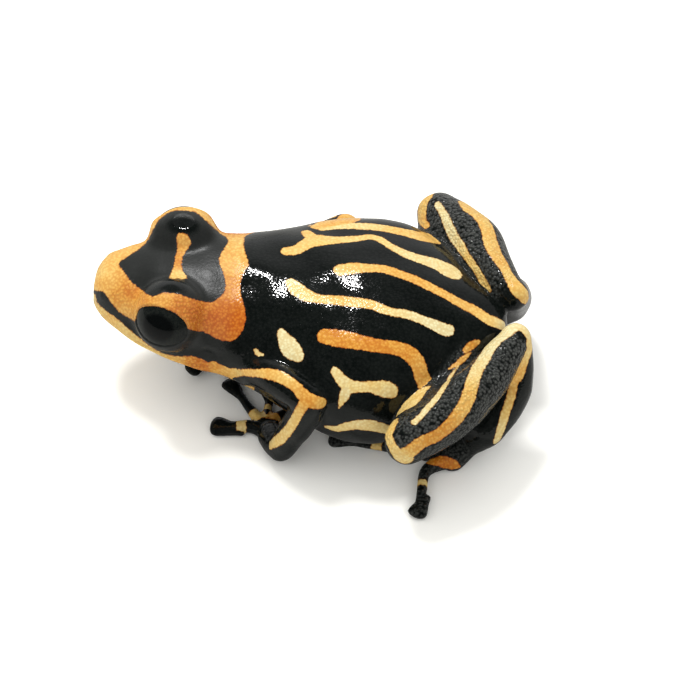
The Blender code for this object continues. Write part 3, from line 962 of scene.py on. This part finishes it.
def head_view(places):
    """Markings of the head as seen in the photograph: depth and warmth by place."""
    face = outline_distance(places, FACE_OUTLINE)
    face = np.minimum(face, -outline_distance(places, CAP_OUTLINE))
    lip = outline_distance(places, LIP_OUTLINE)
    depth = np.maximum(face, lip)
    anchors = np.array(HEAD_WARMTH)
    total, warmth = np.zeros(len(places)), np.zeros(len(places))
    for x, y, warm in anchors:
        weight = 1 / (((places - (x, y)) ** 2).sum(1) + WARMTH_BLEND) ** 2
        total += weight
        warmth += weight * warm
    return depth, warmth / total


def head_near(points, normals):
    """Head markings of the near side, with the throat where the camera can't see."""
    depth, warmth = head_view(photo_place(points))
    facing = normals @ BACK
    ripple = 0.16 * np.sin(points[:, 0] * 2.3 + 0.7) + 0.08 * np.sin(points[:, 1] * 4.1)
    under_eye = LIP_HEIGHT - points[:, 2] + 4 * step(*SNOUT_EDGES, points[:, 0])
    throat = np.minimum(points[:, 2] - THROAT_HEIGHT + ripple, under_eye)
    seen = step(*NEAR_EDGES, facing)
    return depth * seen + throat * (1 - seen), warmth * seen + 0.4 * (1 - seen)


def head_markings(points, normals):
    """Head markings of both sides. The far one is the near one's mirror image where
    the camera can't see it.
    """
    flip = np.array([1.0, -1.0, 1.0])
    near, near_warmth = head_near(points, normals)
    other, other_warmth = head_near(points * flip, normals * flip)
    direct = step(*FAR_EDGES, normals @ BACK)
    far = points[:, 1] > 0
    depth = np.where(far, near * direct + other * (1 - direct), near)
    warmth = np.where(far, near_warmth * direct + other_warmth * (1 - direct), near_warmth)
    bar = outline_distance(photo_place(points), BAR_OUTLINE)
    bar[points[:, 2] < BAR_HEIGHT] = -9
    return np.maximum(depth, bar), warmth


# Materials


def new_material(name):
    made = bpy.data.materials.new(name)
    made.use_nodes = True
    tree = made.node_tree
    return made, tree, tree.nodes["Principled BSDF"]


def add_node(tree, kind, values=None, **settings):
    """A node with its settings, and its inputs set by name or number."""
    made = tree.nodes.new(kind)
    for name, value in settings.items():
        setattr(made, name, value)
    for name, value in (values or {}).items():
        made.inputs[name].default_value = value
    return made


def join(tree, source, target):
    tree.links.new(source, target)


def math_node(tree, operation, first, second):
    made = add_node(tree, "ShaderNodeMath", operation=operation)
    for i, value in enumerate((first, second)):
        if isinstance(value, (int, float)):
            made.inputs[i].default_value = value
        else:
            join(tree, value, made.inputs[i])
    return made.outputs[0]


def map_range(tree, value, from_low, from_high, to_low, to_high, smooth=False):
    ends = {"From Min": from_low, "From Max": from_high, "To Min": to_low, "To Max": to_high}
    kind = "SMOOTHSTEP" if smooth else "LINEAR"
    made = add_node(tree, "ShaderNodeMapRange", ends, interpolation_type=kind)
    join(tree, value, made.inputs["Value"])
    return made.outputs["Result"]


def mix_colour(tree, share, first, second, blend="MIX"):
    made = add_node(tree, "ShaderNodeMix", data_type="RGBA", blend_type=blend)
    for socket, value in ((0, share), (6, first), (7, second)):
        if isinstance(value, (int, float)):
            made.inputs[socket].default_value = value
        elif isinstance(value, tuple):
            made.inputs[socket].default_value = (*value, 1.0)
        else:
            join(tree, value, made.inputs[socket])
    return made.outputs[2]


def millimetres(tree):
    """Places on the piece in millimetres."""
    place = add_node(tree, "ShaderNodeTexCoord")
    scale = add_node(tree, "ShaderNodeVectorMath", {"Scale": 1000.0}, operation="SCALE")
    join(tree, place.outputs["Object"], scale.inputs[0])
    return scale.outputs[0]


def noise(tree, place, scale, detail=2.0, roughness=0.5):
    made = add_node(
        tree, "ShaderNodeTexNoise",
        {"Scale": scale, "Detail": detail, "Roughness": roughness},
    )
    join(tree, place, made.inputs["Vector"])
    return made.outputs["Fac"]


def wet_grain_group():
    """Wet frog skin's fine relief: a height for bumps and a mask of the grain tops."""
    group = bpy.data.node_groups.new("wet_grain", "ShaderNodeTree")
    sockets = group.interface
    sockets.new_socket("Place", in_out="INPUT", socket_type="NodeSocketVector")
    for name, value in (("Grain", 12.0), ("Coarse", 3.0)):
        made = sockets.new_socket(name, in_out="INPUT", socket_type="NodeSocketFloat")
        made.default_value = value
    sockets.new_socket("Height", in_out="OUTPUT", socket_type="NodeSocketFloat")
    sockets.new_socket("Tops", in_out="OUTPUT", socket_type="NodeSocketFloat")
    start = group.nodes.new("NodeGroupInput")
    end = group.nodes.new("NodeGroupOutput")
    cells = add_node(group, "ShaderNodeTexVoronoi", feature="SMOOTH_F1")
    cells.inputs["Smoothness"].default_value = 0.35  # how softly granules run together
    join(group, start.outputs["Place"], cells.inputs["Vector"])
    join(group, start.outputs["Grain"], cells.inputs["Scale"])
    tops = map_range(group, cells.outputs["Distance"], 0.1, 0.75, 1.0, 0.0)
    broad = add_node(group, "ShaderNodeTexNoise", {"Detail": 3.0, "Roughness": 0.6})
    join(group, start.outputs["Place"], broad.inputs["Vector"])
    join(group, start.outputs["Coarse"], broad.inputs["Scale"])
    swell = math_node(group, "MULTIPLY", broad.outputs["Fac"], 0.9)
    join(group, math_node(group, "ADD", tops, swell), end.inputs["Height"])
    join(group, tops, end.inputs["Tops"])
    return group


def skin_material(grain):
    """Wet black skin with granular cream to orange markings read from the skin."""
    made, tree, shader = new_material("striped_skin")
    place = millimetres(tree)
    depth, warmth, coarse, matt_sheen = (
        add_node(tree, "ShaderNodeAttribute", attribute_name=name).outputs["Fac"]
        for name in ("mark_depth", "mark_warmth", "grain", "matt_sheen")
    )
    relief = add_node(tree, "ShaderNodeGroup", node_tree=grain)
    relief.inputs["Grain"].default_value = GRANULES
    relief.inputs["Coarse"].default_value = SWELLINGS
    join(tree, place, relief.inputs["Place"])
    # Edges wander by a few hundredths of a mm, grain by grain.
    waves = noise(tree, place, 5.5, 3.0, 0.65)
    wander = map_range(tree, waves, 0.2, 0.8, -EDGE_WANDER, EDGE_WANDER)
    ragged = map_range(tree, relief.outputs["Tops"], 0.0, 1.0, -EDGE_RAGGED, EDGE_RAGGED)
    edge = math_node(tree, "ADD", math_node(tree, "ADD", depth, wander), ragged)
    mask = map_range(tree, edge, *MARK_EDGES, 0.0, 1.0, smooth=True)
    heart = map_range(tree, edge, 0.0, RIM_WIDTH, 0.0, 1.0, smooth=True)
    patches = noise(tree, place, 1.6, 2.0)
    patchy = map_range(tree, patches, 0.3, 0.7, -WARMTH_PATCHES, WARMTH_PATCHES)
    warm = math_node(tree, "ADD", warmth, patchy)
    ramp = add_node(tree, "ShaderNodeValToRGB")
    stops = ramp.color_ramp.elements
    for stop, (position, tint) in zip(stops, (STRIPE_COLOURS[0], STRIPE_COLOURS[-1])):
        stop.position, stop.color = position, (*tint, 1)
    for position, tint in STRIPE_COLOURS[1:-1]:
        stops.new(position).color = (*tint, 1)
    join(tree, warm, ramp.inputs["Fac"])
    # Between the grains the colour is deeper, partly the skin's own grain and partly painted shade
    # in the furrows, and it darkens to brown at the rim.
    furrow_shaded = mix_colour(tree, 1.0, ramp.outputs["Color"], FURROW_SHADE_TINT, "MULTIPLY")
    furrow_shade = map_range(tree, relief.outputs["Tops"], 0.15, 0.8, 0.9, 0.0)
    mottled = map_range(tree, warmth, 0.3, 1.0, 0.5, 1.0)
    furrow_shade = math_node(tree, "MULTIPLY", furrow_shade, mottled)
    colour = mix_colour(tree, furrow_shade, ramp.outputs["Color"], furrow_shaded)
    rim = mix_colour(tree, 1.0, ramp.outputs["Color"], RIM_TINT, "MULTIPLY")
    colour = mix_colour(tree, heart, rim, colour)
    cloudy = map_range(tree, noise(tree, place, 0.9, 2.0), 0.35, 0.65, 0.0, 1.0)
    black = mix_colour(tree, cloudy, *BLACK_SKIN)
    # Between the eyes the black is painted a lighter grey, a painted sheen on the duller skin.
    black = mix_colour(tree, matt_sheen, black, PAINTED_SHEEN_GREY)
    # The tops of the granules are painted grey on the black as painted glints, most where the skin
    # is coarsest.
    painted_glints = math_node(tree, "MULTIPLY", relief.outputs["Tops"], coarse)
    black = mix_colour(tree, painted_glints, black, PAINTED_GLINT_GREY)
    colour = mix_colour(tree, mask, black, colour)
    join(tree, colour, shader.inputs["Base Color"])
    # Black skin is the wettest. Matt skin and the markings are rougher.
    rough = map_range(tree, noise(tree, place, 3.0, 2.0), 0.3, 0.7, *SKIN_ROUGHNESS)
    for where, more in ((matt_sheen, MATT_ROUGHNESS), (mask, MARK_ROUGHNESS)):
        rough = math_node(tree, "ADD", rough, math_node(tree, "MULTIPLY", where, more))
    join(tree, rough, shader.inputs["Roughness"])
    shader.inputs["IOR"].default_value = SKIN_IOR
    bump = add_node(tree, "ShaderNodeBump", {"Strength": 1.0, "Distance": RELIEF_DEPTH * MM})
    height = math_node(tree, "MULTIPLY", relief.outputs["Height"], coarse)
    join(tree, height, bump.inputs["Height"])
    join(tree, bump.outputs["Normal"], shader.inputs["Normal"])
    return made


def eye_material():
    """A dark wet eye: near-black iris with fine flecks round a blacker pupil."""
    made, tree, shader = new_material("dark_eye")
    reach = add_node(tree, "ShaderNodeAttribute", attribute_name="from_pupil").outputs["Fac"]
    place = millimetres(tree)
    flecks = noise(tree, place, 9.0, 4.0, 0.7)
    iris = mix_colour(tree, map_range(tree, flecks, 0.35, 0.75, 0.0, 1.0), *IRIS_COLOURS)
    pupil = map_range(tree, reach, *PUPIL_EDGES, 1.0, 0.0, smooth=True)
    colour = mix_colour(tree, pupil, iris, PUPIL_COLOUR)
    join(tree, colour, shader.inputs["Base Color"])
    rough = map_range(tree, flecks, 0.3, 0.7, *EYE_ROUGHNESS)
    join(tree, rough, shader.inputs["Roughness"])
    shader.inputs["IOR"].default_value = EYE_IOR
    return made


def floor_material():
    """A plain pale floor with a faint mottle, painted darker where wet skin mirrors it, as painted
    shade in the skin's reflections.
    """
    made, tree, shader = new_material("pale_floor")
    place = add_node(tree, "ShaderNodeTexCoord")
    fine = add_node(tree, "ShaderNodeTexNoise", {"Scale": 900.0, "Detail": 2.0})
    join(tree, place.outputs["Object"], fine.inputs["Vector"])
    colour = mix_colour(tree, fine.outputs["Fac"], *FLOOR_COLOURS)
    path = add_node(tree, "ShaderNodeLightPath")
    dim = mix_colour(tree, 1.0, colour, FLOOR_SHADE_IN_REFLECTIONS, "MULTIPLY")
    seen = mix_colour(tree, path.outputs["Is Glossy Ray"], colour, dim)
    join(tree, seen, shader.inputs["Base Color"])
    shader.inputs["Roughness"].default_value = 0.5
    return made


# Pieces of the frog


def finish_piece(obj, body="root"):
    bpy.context.scene.collection.objects.link(obj)
    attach(obj, body)


def settle(points):
    """From the working frame in mm to the model's frame in metres, inside its box."""
    low, high = (np.array(c) for c in cad_box)
    moved = (points - np.array([CENTRE_X, 0, 0])) * MM
    return np.clip(moved, low + 1e-6, high - 1e-6)


def line_distance(points, line):
    """Distance from each point to a line of points."""
    best = np.full(len(points), 1e9)
    for a, b in zip(line[:-1], line[1:]):
        span = b - a
        t = np.clip((points - a) @ span / max(span @ span, 1e-12), 0, 1)
        gap = np.linalg.norm(points - a - t[:, None] * span, axis=1)
        best = np.minimum(best, gap)
    return best


def mouth_line(rows, side):
    """The line between the lips on one side, from the tip of the snout to the corner."""
    points = []
    for i in range(25):
        t = i / 24
        x = BODY_SECTIONS[0][0] + 0.05 + (MOUTH_CORNER_X - BODY_SECTIONS[0][0]) * t ** 1.8
        height = MOUTH_HEIGHT[0] + (MOUTH_HEIGHT[1] - MOUTH_HEIGHT[0]) * t
        half, middle, bottom = (np.interp(x, rows[:, 0], rows[:, k]) for k in (1, 2, 4))
        below = min(max(middle - height, 0.0) / (middle - bottom), 1.0)
        y = half * (1 - below ** BODY_SQUARENESS) ** (1 / BODY_SQUARENESS)
        points.append((x, y * side, height))
    return np.array(points)


def undulation(points):
    """Soft unevenness of live skin, between about -1 and 1."""
    random = np.random.default_rng(WAVE_SEED)
    total = np.zeros(len(points))
    for length in WAVE_LENGTHS:
        direction = random.normal(size=3)
        direction /= np.linalg.norm(direction)
        wave = points @ direction * 2 * math.pi / length + random.uniform(0, 6.28)
        total += np.sin(wave) * length / 8
    return total


def eye_frame(points, side):
    """Each point round an eye: across, up and along its axis, in mm."""
    axis = eye_axis(side)
    level = np.cross(axis, (0, 0, 1.0))
    level /= np.linalg.norm(level)
    upward = np.cross(level, axis)
    offset = points - eye_centre(side)
    return offset @ level, offset @ upward, offset @ axis


def lid_foot(points, rows):
    """Where the domes over the eyes rise from the head, from 0 to 1."""
    foot = np.zeros(len(points))
    head = np.abs(body_distance(points, rows))
    for side in (-1, 1):
        dome = np.abs(np.linalg.norm(points - eye_centre(side), axis=1) - LID_RADIUS)
        foot = np.maximum(foot, 1 - step(0.1, 0.5, np.maximum(dome, head)))
    return foot


def relief_round(distance, dents):
    """Dents and ridges of soft bell shape, by the distance from their feature."""
    relief = np.zeros(len(distance))
    for middle, width, height in dents:
        relief += height * np.exp(-((distance - middle) / width) ** 2)
    return relief


def open_lids(points):
    """Parts the lids round each eye, so that the skin dips under the ball."""
    for side in (-1, 1):
        across, upward, ahead = eye_frame(points, side)
        reach = np.sqrt((across / LID_OPENING[0]) ** 2 + (upward / LID_OPENING[1]) ** 2)
        offset = points - eye_centre(side)
        distance = np.linalg.norm(offset, axis=1)
        on_lid = (distance < LID_RADIUS * LID_REACH) & (ahead > 0.2)
        inside = step(1.05, 0.93, reach) * on_lid
        change = (EYE_RADIUS - BALL_DEPTH - distance) * inside
        # The upper lid's edge is a soft raised bead, and the lower one lies flush.
        bead = relief_round(reach, LID_BEAD) * on_lid * step(-0.2, 0.5, upward)
        points = points + offset / distance[:, None] * (change + bead)[:, None]
    return points


def face_relief(points, rows):
    """How far the skin stands out, in mm, for the mouth, nostrils, ears and snout."""
    relief = np.zeros(len(points))
    features = ((NOSTRIL, NOSTRIL_RELIEF), (EARDRUM, EARDRUM_RELIEF), (LORE, LORE_RELIEF))
    for side in (-1, 1):
        mouth = line_distance(points, mouth_line(rows, side))
        relief += relief_round(mouth, LIP_RELIEF)
        for place, dents in features:
            distance = np.linalg.norm(points - on_side(place, side), axis=1)
            relief += relief_round(distance, dents)
    return relief


def skin_labels(points, rows, chains, toes):
    """Which piece of the frog each point of the skin is on, and how near a joint it is."""
    names = ["trunk"] + list(chains)
    distances = np.empty((len(names), len(points)))
    distances[0] = trunk_distance(points, rows)
    for i, name in enumerate(names[1:], 1):
        distances[i] = chain_distance(points, chains[name])[0]
        for owner, line, _, digit in toes:
            if owner == name:
                distances[i] = np.minimum(distances[i], chain_distance(points, line)[0])
                pad = np.linalg.norm(points - line[-1, :3], axis=1) - digit[3]
                distances[i] = np.minimum(distances[i], pad)
    label = distances.argmin(0)
    ordered = np.partition(distances, 1, axis=0)
    joint = 1 - step(0.0, JOINT_WIDTH, ordered[1] - np.minimum(ordered[0], 0.05))
    return names, label, joint


def mark_skin(mesh, points, normals, names, label, toes):
    """Paints every marking on the skin: the head's, the stripes and the digits' bands."""
    marks = Markings(len(points))
    index = {name: i for i, name in enumerate(names)}

    def on(*wanted):
        return np.isin(label, [index[name] for name in wanted])

    trunk = on("trunk")
    head = trunk & (points[:, 0] < HEAD_END)
    here = np.flatnonzero(head)
    depth, warmth = head_markings(points[here], normals[here])
    depth = depth - 3 * step(*HEAD_FADE, points[here, 0])
    marks.depth[here], marks.warmth[here] = depth, warmth

    corners = np.empty(len(mesh.loops), dtype=np.int64)
    mesh.loops.foreach_get("vertex_index", corners)
    starts = np.empty(len(mesh.polygons), dtype=np.int64)
    mesh.polygons.foreach_get("loop_start", starts)
    quads = corners[starts[:, None] + np.arange(4)]
    listed = points.tolist()

    def tree_of(where):
        chosen = quads[where[quads].all(1)]
        return BVHTree.FromPolygons(listed, chosen.tolist())

    def paint(group, where, both=False, onto=None, drop=0.0):
        tree = tree_of(where)
        for path in group.values():
            laid = painted_path(path, tree)
            if len(laid) < 2:
                continue
            depth, warmth = mark_distance(points, laid)
            marks.add(where, depth, warmth)
            if both:
                laid = laid * (1, -1, 1, 1, 1) - (0, 0, drop, 0, 0)
                depth, warmth = mark_distance(points, laid)
                marks.add(onto if onto is not None else where, depth, warmth)

    paint(BACK_MARKS, trunk)
    paint(FLANK_SPOTS, trunk, both=True, drop=FLANK_DROP)
    left_arm = on("upper_arm_left", "forearm_left")
    right_arm = on("upper_arm_right", "forearm_right")
    paint(ARM_MARKS, left_arm, both=True, onto=right_arm)
    paint(LIP_END_MARKS, trunk | left_arm, both=True, onto=trunk | right_arm)
    left_leg = on("thigh_left", "shank_left", "tarsus_left")
    right_leg = on("thigh_right", "shank_right", "tarsus_right")
    paint(LEG_MARKS, left_leg)
    paint(HIP_MARKS, trunk | left_leg)
    paint(FAR_LEG_MARKS, right_leg)
    paint(TARSUS_MARKS, left_leg, both=True, onto=on("tarsus_right"))
    left_foot, right_foot = on("foot_left", "tarsus_left"), on("foot_right", "tarsus_right")
    paint(FOOT_MARKS, left_foot, both=True, onto=right_foot)
    paint(FAR_ARM_MARKS, trunk | right_arm)

    for owner, line, _, digit in toes:
        gap, place = chain_distance(points, line)
        band_place, half_length, warm = digit[4:]
        band = half_length - np.abs(place - band_place) * digit[1]
        band = np.minimum(band, BAND_GAP - gap * 2)
        above = on(owner) & (points[:, 2] > BAND_FLOOR)
        marks.add(above, band, np.full(len(points), warm))
    return marks


def skin_grain(points, edges, names, label, marks):
    """How coarse the skin's grain is, from 0, smooth, to 1, on the shanks."""
    kinds = [name.rsplit("_", 1)[0] for name in names]
    grain = np.array([GRAIN_SIZES.get(kind, GRAIN_ELSEWHERE) for kind in kinds])[label]
    head = (1 - step(*HEAD_GRAIN_EDGES, points[:, 0])) * (label == 0)
    pale = step(0.0, 0.1, marks.depth)
    grain = grain * (1 - head) + GRAIN_ON_HEAD * head
    warm = GRAIN_ON_WARM_MARKS * step(*WARM_EDGES, marks.warmth) * head
    grain = grain + pale * (label == 0) * (GRAIN_ON_MARKS + warm)
    grain = grain[:, None]
    for _ in range(GRAIN_ROUNDS):
        grain = neighbour_mean(grain, edges)
    return grain[:, 0]


def matt_sheen_skin(points):
    """Where the skin is dull and painted a lighter grey as painted sheen, between the eyes, except
    for the domes' tops.
    """
    matt_sheen = step(*MATT_ALONG, points[:, 0]) * step(*MATT_ABOVE, points[:, 2])
    for side in (-1, 1):
        top = points - eye_centre(side)
        across = (top[:, 1] - GLOSSY_LEAN * side) / GLOSSY_TOP[1]
        spot = np.hypot(top[:, 0] / GLOSSY_TOP[0], across)
        matt_sheen *= step(*DOME_EDGES, spot)
    return matt_sheen


def make_skin(look):
    """The frog's skin in one piece, with its markings, grain and gloss as layers."""
    rows = body_line()
    chains = limb_chains()
    toes = digits()
    forms = [body_rings(rows)]
    forms += [ball_rings(eye_centre(side), (LID_RADIUS,) * 3, 48, 32) for side in (-1, 1)]
    forms += [chain_rings(samples) for samples in chains.values()]
    for _, line, pad, _ in toes:
        forms.append(chain_rings(line, 16))
        forms.append(pad)
    mesh = joined_skin(rings_mesh(forms))
    points, edges = read_points(mesh), read_edges(mesh)
    everywhere = np.ones(len(points))
    points = smoothed(points, edges, everywhere, SMOOTHING_ROUNDS)
    names, label, joint = skin_labels(points, rows, chains, toes)
    points = smoothed(points, edges, joint, JOINT_ROUNDS)
    points = smoothed(points, edges, lid_foot(points, rows), LID_ROUNDS)
    points = open_lids(points)
    write_points(mesh, points)
    normals = read_normals(mesh)
    relief = face_relief(points, rows) + undulation(points) * UNEVENNESS
    points = points + normals * relief[:, None]
    points[:, 2] = np.maximum(points[:, 2], 0.0)
    points = smoothed(points, edges, everywhere * 0.5, 1)
    points[:, 2] = np.maximum(points[:, 2], 0.0)
    write_points(mesh, points)
    normals = read_normals(mesh)
    marks = mark_skin(mesh, points, normals, names, label, toes)
    grain = skin_grain(points, edges, names, label, marks)
    layers = {
        "mark_depth": marks.depth, "mark_warmth": marks.warmth,
        "grain": grain, "matt_sheen": matt_sheen_skin(points),
    }
    for name, values in layers.items():
        layer = mesh.attributes.new(name, "FLOAT", "POINT")
        layer.data.foreach_set("value", np.clip(values, -1, 1).astype(np.float32))
    write_points(mesh, settle(points))
    mesh.polygons.foreach_set("use_smooth", [True] * len(mesh.polygons))
    mesh.materials.append(look)
    mesh.name = "skin"
    skin = bpy.data.objects.new("skin", mesh)
    finish_piece(skin)
    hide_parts(*[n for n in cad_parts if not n.startswith("eye_")])
    return skin


def make_eye(side, word, look):
    """One eyeball, with each point's distance from the middle of the pupil."""
    centre = eye_centre(side) + eye_axis(side) * EYE_BULGE
    mesh = rings_mesh([ball_rings(centre, (EYE_RADIUS,) * 3, 96, 64)])
    points = read_points(mesh)
    across, upward, ahead = eye_frame(points, side)
    layer = mesh.attributes.new("from_pupil", "FLOAT", "POINT")
    reach = np.where(ahead > 0, np.hypot(across, upward * PUPIL_HEIGHT) / EYE_RADIUS, 1.0)
    layer.data.foreach_set("value", reach.astype(np.float32))
    write_points(mesh, settle(points))
    mesh.polygons.foreach_set("use_smooth", [True] * len(mesh.polygons))
    mesh.materials.append(look)
    eye = bpy.data.objects.new("eyeball_" + word, mesh)
    finish_piece(eye)
    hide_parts("eye_" + word)
    return eye


def make_floor(look):
    mesh = bpy.data.meshes.new("floor")
    corners = [(x * FLOOR_HALF, y * FLOOR_HALF, 0) for x, y in ((-1, -1), (1, -1), (1, 1), (-1, 1))]
    mesh.from_pydata(corners, [], [(0, 1, 2, 3)])
    mesh.materials.append(look)
    floor = bpy.data.objects.new("floor", mesh)
    bpy.context.scene.collection.objects.link(floor)


def soft_light(name, place, size, power):
    """A round lamp at a place in mm, turned towards the frog."""
    light = bpy.data.lights.new(name, "AREA")
    light.shape = "DISK"
    light.size = size * MM
    light.energy = power
    lamp = bpy.data.objects.new(name, light)
    bpy.context.scene.collection.objects.link(lamp)
    lamp.location = Vector(place) * MM
    lamp.rotation_mode = "QUATERNION"
    lamp.rotation_quaternion = (Vector(LAMP_AIM) - Vector(place)).to_track_quat("-Z", "Y")
    return lamp


def make_studio():
    """A pale room that lights softly from all round and shines mostly from behind."""
    world = bpy.data.worlds.new("studio")
    world.use_nodes = True
    tree = world.node_tree
    background = tree.nodes["Background"]
    shine = add_node(tree, "ShaderNodeBackground")
    toward = add_node(tree, "ShaderNodeTexCoord")
    split = add_node(tree, "ShaderNodeSeparateXYZ")
    join(tree, toward.outputs["Generated"], split.inputs[0])
    rear = map_range(tree, split.outputs["Y"], *REAR_EDGES, *ROOM_SHINE, smooth=True)
    join(tree, rear, shine.inputs["Strength"])
    background.inputs["Color"].default_value = (1.0, 1.0, 1.0, 1.0)
    background.inputs["Strength"].default_value = ROOM_LIGHT
    path = add_node(tree, "ShaderNodeLightPath")
    both = add_node(tree, "ShaderNodeMixShader")
    join(tree, path.outputs["Is Glossy Ray"], both.inputs[0])
    join(tree, background.outputs[0], both.inputs[1])
    join(tree, shine.outputs[0], both.inputs[2])
    join(tree, both.outputs[0], tree.nodes["World Output"].inputs["Surface"])
    bpy.context.scene.world = world
    # One broad lamp lights the frog, and a small one in the same place shows in its
    # wet skin as sharp glints.
    soft_light("lamp", LAMP_PLACE, LAMP_SIZE, LAMP_POWER).visible_glossy = False
    soft_light("glint", GLINT_PLACE, GLINT_SIZE, GLINT_POWER).visible_diffuse = False
    bpy.context.scene.view_settings.view_transform = "Standard"


def make_camera():
    lens = bpy.data.cameras.new("photo_camera")
    lens.sensor_width = SENSOR
    lens.lens = SENSOR * CAMERA_DISTANCE * PHOTO_SCALE / PHOTO_SIZE
    lens.clip_start = CLIP_START
    lens.clip_end = CLIP_END
    camera = bpy.data.objects.new("photo_camera", lens)
    bpy.context.scene.collection.objects.link(camera)
    camera.location = Vector(CAMERA_PLACE - np.array([CENTRE_X, 0, 0])) * MM
    camera.rotation_mode = "QUATERNION"
    camera.rotation_quaternion = Vector(-BACK).to_track_quat("-Z", "Y")
    bpy.context.scene.camera = camera


def main():
    grain = wet_grain_group()
    make_skin(skin_material(grain))
    look = eye_material()
    for side, word in ((-1, "left"), (1, "right")):
        make_eye(side, word, look)
    make_floor(floor_material())
    make_studio()
    make_camera()


main()
